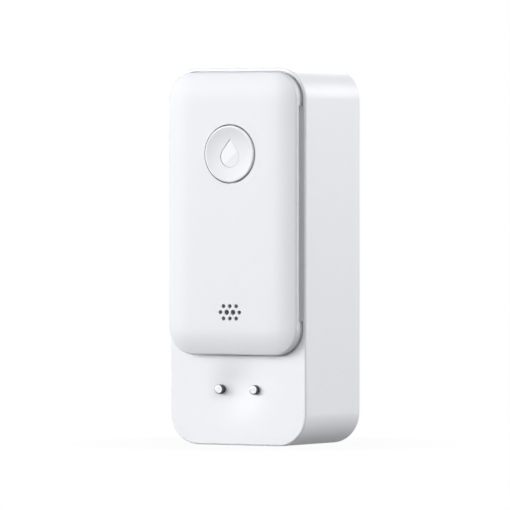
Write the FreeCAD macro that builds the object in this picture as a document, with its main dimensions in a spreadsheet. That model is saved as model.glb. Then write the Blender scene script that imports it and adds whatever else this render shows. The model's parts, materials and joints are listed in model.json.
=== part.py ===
import FreeCAD, Part
import math
import os
import re

import Sketcher
from FreeCAD import Vector

# Water leak detector: a deep base with two probe pins, and an alarm module that plugs into its front.
# Millimetres. X points right, the front faces -Y, Z points up, and the origin is the middle of the
# flat face that the detector stands on.

sizes = {
    # Base housing
    "body_width": 42.0,
    "body_corner": 8.5,
    "body_edge": 0.5,
    "side_wall": 2.2,
    "front_wall": 2.0,
    "collar_depth": 3.2,
    # Shallow dish round the probe pins
    "dish_level": 15.0,
    "dish_radius": 11.0,
    "dish_turn": 4.2,
    "dish_depth": 1.1,
    "dish_pad": 0.8,
    "dish_pad_inset": 2.0,
    # Alarm module outline
    "module_inset": 1.3,
    "module_bottom": 24.05,
    "module_corner": 7.0,
    "module_rise": 4.0,
    "module_gap": 0.6,
    "pillow_radius": 18.0,
    "rim_land": 0.1,
    "rim_fillet": 0.6,
    "cover_wall": 1.6,
    "cover_ceiling": 2.0,
    "skirt_clearance": 0.1,
    "notch_rise": 1.4,
    "notch_length": 56.8,
    "notch_shift": 0.1,
    # Plug part of the module and its bay
    "plug_inset": 3.0,
    "plug_corner": 5.0,
    "plug_wall": 1.5,
    "plug_clearance": 0.3,
    "groove_width": 1.2,
    "groove_depth": 0.8,
    "groove_offset": 0.4,
    "seal_play": 0.05,
    "seal_squeeze": 0.15,
    # Alarm button
    "button_drop": 21.54,
    "button_diameter": 15.0,
    "button_rise": 0.5,
    "button_gap": 0.35,
    "button_dish": 0.55,
    "button_edge": 0.3,
    "button_lip": 1.0,
    "button_lip_thickness": 0.7,
    "lip_clearance": 0.425,
    "button_wall": 1.0,
    "button_travel": 0.5,
    "button_seat": 0.05,
    "post_diameter": 2.2,
    "post_clearance": 0.2,
    # Drop-shaped light window
    "drop_radius": 2.9,
    "drop_tip": 4.6,
    "drop_lift": 0.7,
    "lens_stem": 4.0,
    "lens_recess": 0.15,
    "lens_edge": 0.25,
    "lens_clearance": 0.05,
    "lens_flange": 0.3,
    "lens_flange_thickness": 0.6,
    # Button seal and the spacer that clamps it
    "seal_ring_width": 1.2,
    "seal_skin": 0.4,
    "ring_clearance": 0.1,
    "ring_wall": 1.0,
    "ring_height": 1.4,
    # Sounder and its grille
    "sounder_room": 0.75,
    "grille_pitch": 1.94,
    "grille_row": 1.63,
    "grille_hole": 1.05,
    "grille_centre_hole": 1.35,
    "sounder_diameter": 12.0,
    "sounder_wall": 0.7,
    "sounder_gasket": 0.45,
    "sounder_step": 1.5,
    "sounder_ledge": 0.5,
    "sounder_base": 1.0,
    "disc_thickness": 0.3,
    "disc_clearance": 0.1,
    "membrane_thickness": 0.2,
    # Circuit boards and what they carry
    "board_thickness": 1.0,
    "board_clearance": 0.3,
    "board_back_space": 4.1,
    "switch_width": 6.0,
    "switch_height": 3.1,
    "switch_clearance": 0.25,
    "plunger_diameter": 3.3,
    "plunger_clearance": 0.1,
    "plunger_rise": 0.8,
    "switch_bore_depth": 1.6,
    "led_height": 1.9,
    "led_width": 3.5,
    "led_length": 2.8,
    "shield_rise": 13.5,
    "shield_width": 14.0,
    "shield_length": 16.0,
    "shield_height": 2.2,
    "shield_corner": 1.0,
    "chip_rise": 13.5,
    "chip_width": 7.0,
    "chip_height": 0.9,
    "block_corner": 0.3,
    "dock_board_inset": 1.8,
    "dock_board_corner": 1.5,
    "boss_room": 1.3,
    # Plug and socket between module and base
    "header_clearance": 1.18,
    "contact_pitch": 2.54,
    "contact_pin": 0.8,
    "contact_clearance": 0.2,
    "pin_fit": 0.05,
    "pin_root": 0.2,
    "header_side": 0.2,
    "contact_reach": 3.1,
    "cup_gap": 0.3,
    "cup_wall": 0.15,
    "cup_tail": 0.8,
    "socket_gap": 0.6,
    "socket_depth": 4.0,
    "socket_height": 5.0,
    "socket_side": 0.9,
    "socket_corner": 0.8,
    # Battery cells, their tray and contacts
    "cell_diameter": 14.2,
    "cell_length": 50.5,
    "cell_nub": 1.0,
    "cell_nub_diameter": 5.5,
    "cell_gap": 0.8,
    "cell_front_gap": 0.9,
    "cell_back_gap": 0.1,
    "cell_clearance": 0.15,
    "cell_edge": 0.5,
    "tray_gap": 2.3,
    "tray_end_wall": 1.2,
    "tray_clearance": 0.3,
    "tray_floor": 1.25,
    "tray_corner": 1.0,
    "cradle_side": 1.6,
    "cradle_reach": 3.0,
    "end_wall_inset": 0.5,
    "strip_thickness": 0.3,
    "plate_reach": 4.0,
    "plate_depth": 6.0,
    "leaf_reach": 3.0,
    "leaf_gap": 0.02,
    "tail_clearance": 0.1,
    "tail_drop": 4.5,
    "tail_foot": 2.5,
    "tail_turn": 2.0,
    "lead_width": 2.0,
    "lead_reach": 3.0,
    "spring_height": 1.2,
    # Probe pins
    "probe_level": 14.75,
    "probe_spacing": 10.7,
    "probe_diameter": 2.5,
    "probe_rise": 1.0,
    "probe_edge": 0.3,
    "probe_boss": 6.0,
    "probe_boss_length": 3.5,
    "probe_shoulder": 5.0,
    "probe_shoulder_length": 1.0,
    "probe_neck": 2.0,
    "probe_seal": 0.8,
    "probe_clearance": 0.05,
    "probe_tail": 1.6,
    # Rear plate, its seal, feet and contact studs
    "plate_thickness": 1.8,
    "plate_lip": 1.2,
    "plate_clearance": 0.1,
    "plate_seal": 0.5,
    "stud_level": 16.0,
    "stud_spacing": 17.0,
    "stud_head": 6.0,
    "stud_tail": 3.0,
    "nut_height": 1.6,
    "foot_rise": 0.9,
    "foot_top_inset": 14.0,
    # Screws and clips
    "screw_diameter": 1.9,
    "screw_head": 3.6,
    "screw_head_height": 1.2,
    "pilot_clearance": 0.1,
    "hole_clearance": 0.4,
    "recess_clearance": 0.2,
    "module_screw_length": 8.0,
    "plate_screw_length": 7.0,
    "board_screw_length": 6.0,
    "pilot_room": 1.0,
    "module_boss": 4.1,
    "module_boss_clearance": 0.18,
    "plate_screw_inset": 5.6,
    "plate_boss": 5.2,
    "board_screw_inset": 3.0,
    "board_boss": 4.4,
    "clip_width": 8.0,
    "clip_thickness": 0.3,
    "clip_bite": 0.35,
    "clip_half": 1.7,
    "clip_tip": 0.4,
    "clip_foot": 1.0,
    "clip_clearance": 0.15,
    "clip_play": 0.4,
}

doc = FreeCAD.newDocument("water_leak_detector")
sheet = doc.addObject("Spreadsheet::Sheet", "Sizes")
for row, (alias, value) in enumerate(sizes.items(), start=1):
    sheet.set(f"A{row}", alias.replace("_", " "))
    sheet.set(f"B{row}", str(value))
    sheet.setAlias(f"B{row}", alias)
doc.recompute()

# Places and sizes that follow from the driving sizes, as formulas of the sheet. The depth is a stack from the
# button to the rear plate, and the height is a stack from the module's lower edge, past the cells, to the
# top.
places = {
    "button_stack": "button_lip_thickness + button_travel + seal_skin + plunger_rise + switch_height"
                    " + 3 * button_seat",
    "plug_depth": "cover_ceiling + button_stack + board_thickness + board_back_space + plug_wall"
                  " - module_rise",
    "body_depth": "plug_depth + cell_front_gap + cell_diameter + cell_back_gap + tray_floor"
                  " + plate_thickness",
    "front": "-body_depth / 2",
    "back": "body_depth / 2",
    "inner_front": "front + front_wall",
    "collar_back": "inner_front + collar_depth",
    "inner_width": "body_width - 2 * side_wall",

    "plug_bottom": "module_bottom + plug_inset",
    "contact_level": "plug_bottom + plug_wall + header_clearance + contact_pitch / 2",
    "tray_bottom": "contact_level + socket_height / 2 + tray_gap",
    "contact_bottom": "tray_bottom + tray_end_wall",
    "contact_top": "contact_bottom + cell_length + spring_height + 2 * strip_thickness",
    "tray_top": "contact_top + tray_end_wall",
    "body_height": "tray_top + boss_room + plate_boss / 2 + plate_screw_inset",
    "dock_board_bottom": "plate_screw_inset + plate_boss / 2 + boss_room",

    "module_width": "body_width - 2 * module_inset",
    "module_top": "body_height - module_inset",
    "module_middle": "(module_top + module_bottom) / 2",
    "cover_front": "front - module_rise",
    "cover_back": "front - module_gap",
    "button_front": "cover_front - button_rise",
    "ceiling": "cover_front + cover_ceiling",
    "pillow_reach": "module_corner - rim_land",
    "plug_width": "module_width - 2 * plug_inset",
    "plug_top": "module_top - plug_inset",
    "plug_back": "front + plug_depth",
    "floor_inside": "plug_back - plug_wall",
    "board_back": "floor_inside - board_back_space",
    "board_front": "board_back - board_thickness",

    "button_level": "module_top - button_drop",
    "plunger_tip": "board_front - switch_height - plunger_rise",
    "skin_back": "plunger_tip - button_seat",
    "skin_front": "skin_back - seal_skin",
    "post_end": "skin_front - button_seat",
    "drop_level": "button_level - drop_lift",
    "post_offset": "drop_lift + drop_radius + lens_flange + post_clearance + post_diameter / 2",
    "switch_level": "button_level - post_offset",
    "switch_corner": "sqrt((switch_width / 2)^2 + (post_offset + switch_width / 2)^2)",
    "lip_reach": "button_diameter / 2 + button_lip",
    "seal_bore": "2 * max(lip_reach + lip_clearance, switch_corner + switch_clearance)",
    "seal_ring_diameter": "seal_bore + 2 * seal_ring_width",
    "ring_bore": "seal_ring_diameter + 2 * ring_clearance",

    "grille_level": "plug_bottom + plug_wall + sounder_room + sounder_diameter / 2",
    "sounder_bore": "sounder_diameter - 2 * sounder_wall",
    "gasket_bore": "sounder_bore - 2 * sounder_ledge",
    "case_front": "ceiling + sounder_gasket",
    "disc_front": "case_front + sounder_step",
    "chip_level": "contact_level + chip_rise",
    "shield_level": "chip_level + shield_rise",

    "plate_front": "back - plate_thickness",
    "ledge": "plate_front - plate_seal",
    "tray_floor_front": "plate_front - tray_floor",
    "dock_board_front": "plug_back + socket_gap + socket_depth",
    "dock_board_back": "dock_board_front + board_thickness",
    "dock_board_width": "inner_width - 2 * dock_board_inset",
    "cell_middle": "plug_back + cell_front_gap + cell_diameter / 2",
    "cell_spread": "(cell_diameter + cell_gap) / 2",
    "cradle_width": "2 * cell_diameter + cell_gap + 2 * cradle_side",
    "cell_groove": "cell_diameter + 2 * cell_clearance",

    "dish_turn_depth": "dish_depth * dish_turn / dish_radius",
    "dish_rim": "dish_radius - dish_turn",
    "dish_rim_depth": "dish_depth - dish_turn_depth",
    "boss_end": "inner_front + probe_boss_length",
    "shoulder_front": "boss_end + probe_seal",
    "shoulder_back": "shoulder_front + probe_shoulder_length",
    "probe_end": "shoulder_back + probe_tail",
    "probe_tip": "front - probe_rise",
    "probe_x": "probe_spacing / 2",
    "probe_hole": "probe_diameter + 2 * probe_clearance",
    "stud_x": "stud_spacing / 2",
    "stud_end": "plate_front - stud_tail",

    "screw_pilot": "screw_diameter + pilot_clearance",
    "screw_hole": "screw_diameter + hole_clearance",
    "head_recess": "screw_head + hole_clearance",
    "recess_depth": "screw_head_height + recess_clearance",
    "module_screw_seat": "plug_back - recess_depth",
    "plug_inner_corner": "plug_corner - plug_wall",
    "groove_front": "inner_front + groove_offset",
    "module_boss_reach": "module_boss / 2 + module_boss_clearance",
    "module_screw_inset": "max(module_boss_reach,"
                          " plug_inner_corner - (plug_inner_corner - module_boss_reach) / sqrt(2))",
    "module_screw_x": "plug_width / 2 - plug_wall - module_screw_inset",
    "module_screw_low": "plug_bottom + plug_wall + module_screw_inset",
    "module_screw_high": "plug_top - plug_wall - module_screw_inset",
    "plate_screw_x": "body_width / 2 - plate_screw_inset",
    "plate_screw_high": "body_height - plate_screw_inset",
    "board_screw_x": "dock_board_width / 2 - board_screw_inset",
    "board_screw_level": "dock_board_bottom + board_screw_inset",
    "clip_middle": "collar_back + clip_clearance + clip_foot + clip_half",
}


def linked(text):
    """The formula with each size pointed at its cell of the sheet, and each place written out."""
    def point(word):
        name = word.group()
        if name in places:
            return f"({linked(places[name])})"
        return f"Sizes.{name}" if name in sizes else name
    return re.sub(r"[a-z]\w*", point, text)


def number(text):
    """What a formula comes to now."""
    return float(sheet.evalExpression(linked(text)))


def bind(item, prop, text):
    item.setExpression(prop, linked(text))


# Sketches and features

plane_of_axis = {"X": "YZ_Plane", "Y": "XZ_Plane", "Z": "XY_Plane"}


def new_body(name):
    body = doc.addObject("PartDesign::Body", name)
    body.Label = name
    body.AllowCompound = True
    return body


def new_sketch(body, name, axis, level, across="0", up="0"):
    """A sketch square to an axis at a level along it, with its origin moved across and up."""
    sketch = body.newObject("Sketcher::SketchObject", f"{name}_sketch")
    role = plane_of_axis[axis]
    plane = next(item for item in body.Origin.OriginFeatures if item.Role == role)
    sketch.AttachmentSupport = (plane, [""])
    sketch.MapMode = "FlatFace"
    bind(sketch, "AttachmentOffset.Base.x", across)
    bind(sketch, "AttachmentOffset.Base.y", up)
    bind(sketch, "AttachmentOffset.Base.z", f"-({level})" if axis == "Y" else level)
    return sketch


def hold(sketch, kind, where, text):
    """A constraint whose value follows a formula."""
    index = sketch.addConstraint(Sketcher.Constraint(kind, *where, number(text)))
    bind(sketch, f"Constraints[{index}]", text)


def pin_point(sketch, piece, end, x, y):
    """Holds a point of the sketch at the place that two formulas give."""
    for text, kind, axis in ((x, "DistanceX", -2), (y, "DistanceY", -1)):
        if text == "0":
            sketch.addConstraint(Sketcher.Constraint("PointOnObject", piece, end, axis))
        else:
            hold(sketch, kind, (-1, 1, piece, end), text)


def circle(x, y, diameter):
    def draw(sketch):
        place = Vector(number(x), number(y), 0)
        piece = sketch.addGeometry(Part.Circle(place, Vector(0, 0, 1), number(diameter) / 2))
        hold(sketch, "Diameter", (piece,), diameter)
        pin_point(sketch, piece, 3, x, y)
    return draw


def outline(*points):
    """A closed outline through points. A third value makes the run to that point an arc of that
    radius, which turns left where it is positive."""
    def draw(sketch):
        start_end = []
        for here, there in zip(points[-1:] + points[:-1], points):
            a = Vector(number(here[0]), number(here[1]), 0)
            b = Vector(number(there[0]), number(there[1]), 0)
            if len(there) == 2:
                piece = sketch.addGeometry(Part.LineSegment(a, b))
                start_end.append((piece, 1, 2))
                continue
            radius = number(there[2])
            half = (b - a) / 2
            rise = math.sqrt(max(radius ** 2 - half.Length ** 2, 0))
            side = Vector(-half.y, half.x, 0).normalize() * math.copysign(rise, radius)
            centre = a + half + side
            first, last = (a, b) if radius > 0 else (b, a)
            angles = [math.atan2(end.y - centre.y, end.x - centre.x) for end in (first, last)]
            turn = Part.Circle(centre, Vector(0, 0, 1), abs(radius))
            piece = sketch.addGeometry(Part.ArcOfCircle(turn, *angles))
            start_end.append((piece, 1, 2) if radius > 0 else (piece, 2, 1))
        for index, (piece, start, end) in enumerate(start_end):
            following = start_end[(index + 1) % len(points)]
            sketch.addConstraint(Sketcher.Constraint("Coincident", piece, end, following[0], following[1]))
            pin_point(sketch, piece, end, points[index][0], points[index][1])
        for (piece, start, end), point in zip(start_end, points):
            if len(point) == 3:
                hold(sketch, "Radius", (piece,), f"abs({point[2]})")
    return draw


def rounded(left, right, bottom, top, radius):
    """A rectangle with rounded corners."""
    def draw(sketch):
        x0, x1, y0, y1, r = (number(text) for text in (left, right, bottom, top, radius))
        corners = (((x1 - r, y0 + r), -90), ((x1 - r, y1 - r), 0),
                   ((x0 + r, y1 - r), 90), ((x0 + r, y0 + r), 180))
        ends = (((x0 + r, y0), (x1 - r, y0)), ((x1, y0 + r), (x1, y1 - r)),
                ((x1 - r, y1), (x0 + r, y1)), ((x0, y1 - r), (x0, y0 + r)))
        pieces = []
        for (start, end), (centre, angle) in zip(ends, corners):
            pieces.append(sketch.addGeometry(Part.LineSegment(Vector(*start, 0), Vector(*end, 0))))
            turn = Part.Circle(Vector(*centre, 0), Vector(0, 0, 1), r)
            arc = Part.ArcOfCircle(turn, math.radians(angle), math.radians(angle + 90))
            pieces.append(sketch.addGeometry(arc))
        for here, there in zip(pieces, pieces[1:] + pieces[:1]):
            sketch.addConstraint(Sketcher.Constraint("Tangent", here, 2, there, 1))
        for index, kind in enumerate(("Horizontal", "Vertical", "Horizontal", "Vertical")):
            sketch.addConstraint(Sketcher.Constraint(kind, pieces[2 * index]))
        for arc in pieces[3::2]:
            sketch.addConstraint(Sketcher.Constraint("Equal", pieces[1], arc))
        hold(sketch, "Radius", (pieces[1],), radius)
        hold(sketch, "DistanceY", (-1, 1, pieces[0], 1), bottom)
        hold(sketch, "DistanceX", (-1, 1, pieces[2], 1), right)
        hold(sketch, "DistanceY", (-1, 1, pieces[4], 1), top)
        hold(sketch, "DistanceX", (-1, 1, pieces[6], 1), left)
    return draw


def centred(width, bottom, top, radius):
    """A rounded rectangle that is symmetric about X = 0."""
    return rounded(f"-({width}) / 2", f"({width}) / 2", bottom, top, radius)


def drop(radius, level):
    """A water drop with its tip up: a round belly and two straight sides tangent to it."""
    tip = f"({radius}) * drop_tip / drop_radius"
    touch_x = f"(({radius}) * sqrt(1 - (drop_radius / drop_tip)^2))"
    touch_y = f"({level} + ({radius}) * drop_radius / drop_tip)"
    return outline((touch_x, touch_y, radius), ("0", f"{level} + {tip}"), (f"-{touch_x}", touch_y),
                   ("0", f"{level} - ({radius})", radius))


def volume_of(body):
    return 0.0 if body.Tip is None else body.Shape.Volume


def finish_feature(body, feature, volume, cut):
    doc.recompute()
    if "Invalid" in feature.State or (body.Shape.Volume - volume) * (-1 if cut else 1) <= 0:
        raise RuntimeError(f"{body.Label}: {feature.Name} changed nothing")
    return feature


def extrude(body, name, axis, start, end, *profiles, cut=False):
    """Adds or cuts the profiles from start to end along an axis."""
    volume = volume_of(body)
    sketch = new_sketch(body, name, axis, start)
    for draw in profiles:
        draw(sketch)
    feature = body.newObject("PartDesign::Pocket" if cut else "PartDesign::Pad", name)
    feature.Profile = sketch
    bind(feature, "Length", f"({end}) - ({start})")
    feature.Reversed = cut if axis != "Y" else not cut
    return finish_feature(body, feature, volume, cut)


def revolve(body, name, axis, across, up, draw, cut=False):
    """Turns a profile about a line along Y or Z. Its points are (y, radius) or (radius, z)."""
    volume = volume_of(body)
    if axis == "Y":
        sketch = new_sketch(body, name, "X", across, up=up)
    else:
        sketch = new_sketch(body, name, "Y", up, across=across)
    draw(sketch)
    feature = body.newObject("PartDesign::Groove" if cut else "PartDesign::Revolution", name)
    feature.Profile = sketch
    feature.ReferenceAxis = (sketch, ["H_Axis" if axis == "Y" else "V_Axis"])
    feature.Angle = 360
    return finish_feature(body, feature, volume, cut)


def fillet(body, name, radius, chosen):
    """Rounds the edges for which chosen(edge) is true."""
    base = body.Tip
    doc.recompute()
    edges = [f"Edge{index}" for index, edge in enumerate(base.Shape.Edges, start=1) if chosen(edge)]
    feature = body.newObject("PartDesign::Fillet", name)
    feature.Base = (base, edges)
    bind(feature, "Radius", radius)
    doc.recompute()
    return feature


def lies_at(edge, level):
    """Whether an edge lies wholly in the plane at this level along Y."""
    return all(abs(vertex.Y - number(level)) < 1e-4 for vertex in edge.Vertexes)


def mirrored_pair(item, name):
    """An item and its mirror image across X = 0, as one node."""
    twin = doc.addObject("Part::Mirroring", f"{name}_twin")
    twin.Source = item
    twin.Normal = Vector(1, 0, 0)
    pair = doc.addObject("Part::Compound", name)
    pair.Label = name
    pair.Links = [item, twin]
    return pair


def place_at(item, x, y, z):
    bind(item, "Placement.Base.x", x)
    bind(item, "Placement.Base.y", y)
    bind(item, "Placement.Base.z", z)


def rod(name, x, z, start, end, diameter):
    """A cylinder that runs along Y from start to end."""
    item = doc.addObject("Part::Cylinder", name)
    bind(item, "Radius", f"({diameter}) / 2")
    bind(item, "Height", f"({end}) - ({start})")
    item.Placement = FreeCAD.Placement(Vector(), FreeCAD.Rotation(Vector(1, 0, 0), -90))
    place_at(item, x, start, z)
    return item


def brick(name, x, y, z):
    """A box between pairs of places along X, Y and Z."""
    item = doc.addObject("Part::Box", name)
    for prop, (low, high) in zip(("Length", "Width", "Height"), (x, y, z)):
        bind(item, prop, f"({high}) - ({low})")
    place_at(item, x[0], y[0], z[0])
    return item


def fuse(name, *items):
    whole = doc.addObject("Part::MultiFuse", name)
    whole.Shapes = list(items)
    return whole


def group(name, items):
    """Separate solids kept together as one node."""
    whole = doc.addObject("Part::Compound", name)
    whole.Label = name
    whole.Links = items
    return whole


def screws(name, places, head_seat, length):
    """Pan-head screws along Y. The head lies behind its seat, and the shank runs to the front."""
    items = []
    for index, (x, z) in enumerate(places, start=1):
        shank = rod(f"{name}_shank", x, z, f"{head_seat} - ({length})", head_seat, "screw_diameter")
        head = rod(f"{name}_head", x, z, head_seat, f"{head_seat} + screw_head_height", "screw_head")
        items.append(fuse(f"{name}_{index}", shank, head))
    return group(name, items)


def four_places(x, low, high):
    return [(sign + x, level) for level in (low, high) for sign in ("-", "")]


module_screw_places = four_places("module_screw_x", "module_screw_low", "module_screw_high")
plate_screw_places = four_places("plate_screw_x", "plate_screw_inset", "plate_screw_high")
board_screw_places = [(sign + "board_screw_x", "board_screw_level") for sign in ("-", "")]
probe_places = [(sign + "probe_x", "probe_level") for sign in ("-", "")]
contact_places = [(f"(contact_pitch * {step})", "contact_level") for step in (-1.5, -0.5, 0.5, 1.5)]


def circles(places, diameter):
    return [circle(x, z, diameter) for x, z in places]


# Base

def base_housing():
    """Moulded tub, open at the back, with the module's bay and the probe dish in its front."""
    body = new_body("base_housing")
    extrude(body, "block", "Y", "front", "back", centred("body_width", "0", "body_height", "body_corner"))
    fillet(body, "outer_edges", "body_edge", lambda edge: lies_at(edge, "front") or lies_at(edge, "back"))
    extrude(body, "cavity", "Y", "inner_front", "back",
            centred("inner_width", "side_wall", "body_height - side_wall", "body_corner - side_wall"),
            cut=True)
    extrude(body, "rebate", "Y", "ledge", "back",
            centred("body_width - 2 * plate_lip", "plate_lip", "body_height - plate_lip",
                    "body_corner - plate_lip"), cut=True)
    half_wall = "side_wall / 2"
    extrude(body, "collar", "Y", "inner_front", "collar_back",
            centred("body_width - side_wall", "plug_bottom - plug_clearance - front_wall",
                    f"body_height - {half_wall}", f"body_corner - {half_wall}"))
    extrude(body, "bay", "Y", "front - 1", "collar_back",
            centred("plug_width + 2 * plug_clearance", "plug_bottom - plug_clearance",
                    "plug_top + plug_clearance", "plug_corner + plug_clearance"), cut=True)
    # The dish is a bowl whose rim flares out, and the wall is thicker behind it.
    extrude(body, "dish_pad", "Y", "inner_front", "inner_front + dish_pad",
            circle("0", "dish_level", "2 * (dish_radius - dish_pad_inset)"))
    bowl_curve = "((dish_turn^2 + dish_turn_depth^2) / (2 * dish_turn_depth))"
    rim_curve = "((dish_rim^2 + dish_rim_depth^2) / (2 * dish_rim_depth))"
    revolve(body, "dish", "Y", "0", "dish_level",
            outline(("front - 1", "0"), ("front + dish_depth", "0"),
                    ("front + dish_rim_depth", "dish_turn", bowl_curve),
                    ("front", "dish_radius", f"-{rim_curve}"), ("front - 1", "dish_radius")), cut=True)
    extrude(body, "probe_bosses", "Y", "inner_front", "boss_end", *circles(probe_places, "probe_boss"))
    extrude(body, "probe_holes", "Y", "front - 1", "boss_end", *circles(probe_places, "probe_hole"), cut=True)
    extrude(body, "board_bosses", "Y", "inner_front", "dock_board_front",
            *circles(board_screw_places, "board_boss"))
    extrude(body, "board_pilots", "Y", "dock_board_front - board_screw_length - pilot_room",
            "dock_board_front", *circles(board_screw_places, "screw_pilot"), cut=True)
    extrude(body, "plate_bosses", "Y", "plug_back + socket_gap", "ledge",
            *circles(plate_screw_places, "plate_boss"))
    extrude(body, "plate_pilots", "Y", "ledge - plate_screw_length - pilot_room", "ledge",
            *circles(plate_screw_places, "screw_pilot"), cut=True)
    return body


def rear_plate():
    """Inset back plate with screw holes, stud holes and two moulded rest feet."""
    body = new_body("rear_plate")
    inset = "(plate_lip + plate_clearance)"
    extrude(body, "plate", "Y", "plate_front", "back",
            centred(f"body_width - 2 * {inset}", inset, f"body_height - {inset}", f"body_corner - {inset}"))
    fillet(body, "plate_edge", "body_edge", lambda edge: lies_at(edge, "back"))
    feet = [(sign + "stud_x", "body_height - foot_top_inset") for sign in ("-", "")]
    extrude(body, "feet", "Y", "back", "back + foot_rise", *circles(feet, "stud_head"))
    fillet(body, "feet_edge", "foot_rise / 2", lambda edge: lies_at(edge, "back + foot_rise"))
    extrude(body, "screw_holes", "Y", "plate_front", "back",
            *circles(plate_screw_places, "screw_hole"), cut=True)
    extrude(body, "head_recesses", "Y", "back - screw_head_height", "back",
            *circles(plate_screw_places, "head_recess"), cut=True)
    studs = [(sign + "stud_x", "stud_level") for sign in ("-", "")]
    extrude(body, "stud_holes", "Y", "plate_front", "back", *circles(studs, "probe_hole"), cut=True)
    return body


def rear_plate_seal():
    """Flat silicone ring between the housing's ledge and the rear plate."""
    body = new_body("rear_plate_seal")
    outer = "(plate_lip + plate_clearance / 2)"
    inner = "(side_wall - plate_clearance / 2)"
    extrude(body, "ring", "Y", "ledge", "plate_front",
            centred(f"body_width - 2 * {outer}", outer, f"body_height - {outer}", f"body_corner - {outer}"),
            centred(f"body_width - 2 * {inner}", inner, f"body_height - {inner}", f"body_corner - {inner}"))
    return body


def spring_lead(name, x, level, near, far):
    """C-shaped flat lead from near to far along Y, with its riser outside the contact that it joins."""
    side = f"({x} + lead_reach)"
    tall = (f"{level} - lead_width / 2", f"{level} + lead_width / 2")
    wide = (f"{x} - lead_width / 2", side)
    near_leaf = brick(f"{name}_near", wide, (near, f"{near} + strip_thickness"), tall)
    riser = brick(f"{name}_riser", (f"{side} - strip_thickness", side), (near, far), tall)
    far_leaf = brick(f"{name}_far", wide, (f"{far} - strip_thickness", far), tall)
    mirrored_pair(fuse(name, near_leaf, riser, far_leaf), f"{name}s")


def rear_studs():
    """Two domed metal contact feet in the rear plate, with their nuts and leads."""
    stud = new_body("rear_stud")
    dome = "foot_rise / 2"
    revolve(stud, "turned", "Y", "stud_x", "stud_level",
            outline(("stud_end", "0"), ("stud_end", "probe_diameter / 2"), ("back", "probe_diameter / 2"),
                    ("back", "stud_head / 2"), (f"back + {dome}", "stud_head / 2"),
                    ("back + foot_rise", f"stud_head / 2 - {dome}", f"-{dome}"), ("back + foot_rise", "0")))
    mirrored_pair(stud, "rear_contact_studs")

    blank = doc.addObject("Part::Prism", "nut_blank")
    blank.Polygon = 6
    bind(blank, "Circumradius", "probe_diameter")
    bind(blank, "Height", "nut_height")
    blank.Placement = FreeCAD.Placement(Vector(), FreeCAD.Rotation(Vector(1, 0, 0), -90))
    place_at(blank, "stud_x", "plate_front - nut_height", "stud_level")
    nut = doc.addObject("Part::Cut", "nut")
    nut.Base = blank
    nut.Tool = rod("nut_bore", "stud_x", "stud_level", "stud_end", "back", "probe_hole")
    mirrored_pair(nut, "rear_stud_nuts")
    spring_lead("rear_stud_lead", "stud_x", "stud_level", "dock_board_back", "stud_end")


def probes():
    """Two turned metal pins in the front, with seals behind their bosses and spring leads to the board."""
    pin = new_body("probe_pin")
    shank = "probe_diameter / 2"
    revolve(pin, "turned", "Y", "probe_x", "probe_level",
            outline(("probe_tip", "0"), ("probe_tip", f"{shank} - probe_edge"),
                    ("probe_tip + probe_edge", shank, "-probe_edge"), ("shoulder_front", shank),
                    ("shoulder_front", "probe_shoulder / 2"), ("shoulder_back", "probe_shoulder / 2"),
                    ("shoulder_back", "probe_neck / 2"), ("probe_end", "probe_neck / 2"), ("probe_end", "0")))
    mirrored_pair(pin, "probe_pins")

    seal = new_body("probe_seal_ring")
    revolve(seal, "ring", "Y", "probe_x", "probe_level",
            outline(("boss_end", "probe_hole / 2"), ("boss_end", "probe_hole / 2 + probe_seal"),
                    ("shoulder_front", "probe_hole / 2 + probe_seal"), ("shoulder_front", "probe_hole / 2")))
    mirrored_pair(seal, "probe_seals")
    spring_lead("probe_lead", "probe_x", "probe_level", "probe_end", "dock_board_front")


def battery_tray():
    """Cradle for the two cells, with end walls that hold their contacts."""
    body = new_body("battery_tray")
    cradle_front = "cell_middle - cradle_reach"
    extrude(body, "floor", "Y", "tray_floor_front", "plate_front",
            centred("inner_width - 2 * tray_clearance", "tray_bottom", "tray_top", "tray_corner"))
    extrude(body, "cradle", "Y", cradle_front, "tray_floor_front",
            centred("cradle_width", "tray_bottom", "tray_top", "tray_corner"))
    extrude(body, "cell_grooves", "Z", "contact_bottom", "contact_top",
            *[circle(sign + "cell_spread", "cell_middle", "cell_groove") for sign in ("-", "")], cut=True)
    side = "(cell_spread + cell_groove / 2)"
    extrude(body, "mouth", "Z", "contact_bottom", "contact_top",
            outline((f"-{side}", f"{cradle_front} - 1"), (side, f"{cradle_front} - 1"), (side, "cell_middle"),
                    (f"-{side}", "cell_middle")), cut=True)
    for name, low, high in (("lower_wall", "tray_bottom", "contact_bottom"),
                            ("upper_wall", "contact_top", "tray_top")):
        extrude(body, name, "Y", "cell_middle - cell_diameter / 2 + end_wall_inset", cradle_front,
                centred("cradle_width", low, high, "end_wall_inset"))
    return body


def battery_cell(name, side, end, upward):
    """A round cell whose nub is at its top, or at its bottom where it stands the other way up."""
    def level(distance):
        return f"{end} + ({distance})" if upward else f"{end} - ({distance})"

    radius = "cell_diameter / 2"
    shoulder = "cell_length - cell_nub"
    points = [("0", level("0")), (f"{radius} - cell_edge", level("0")), (radius, level("cell_edge")),
              (radius, level(f"{shoulder} - cell_edge")), (f"{radius} - cell_edge", level(shoulder)),
              ("cell_nub_diameter / 2", level(shoulder)), ("cell_nub_diameter / 2", level("cell_length")),
              ("0", level("cell_length"))]
    body = new_body(name)
    revolve(body, "can", "Z", f"{side}cell_spread", "cell_middle", outline(*points))
    return body


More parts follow.
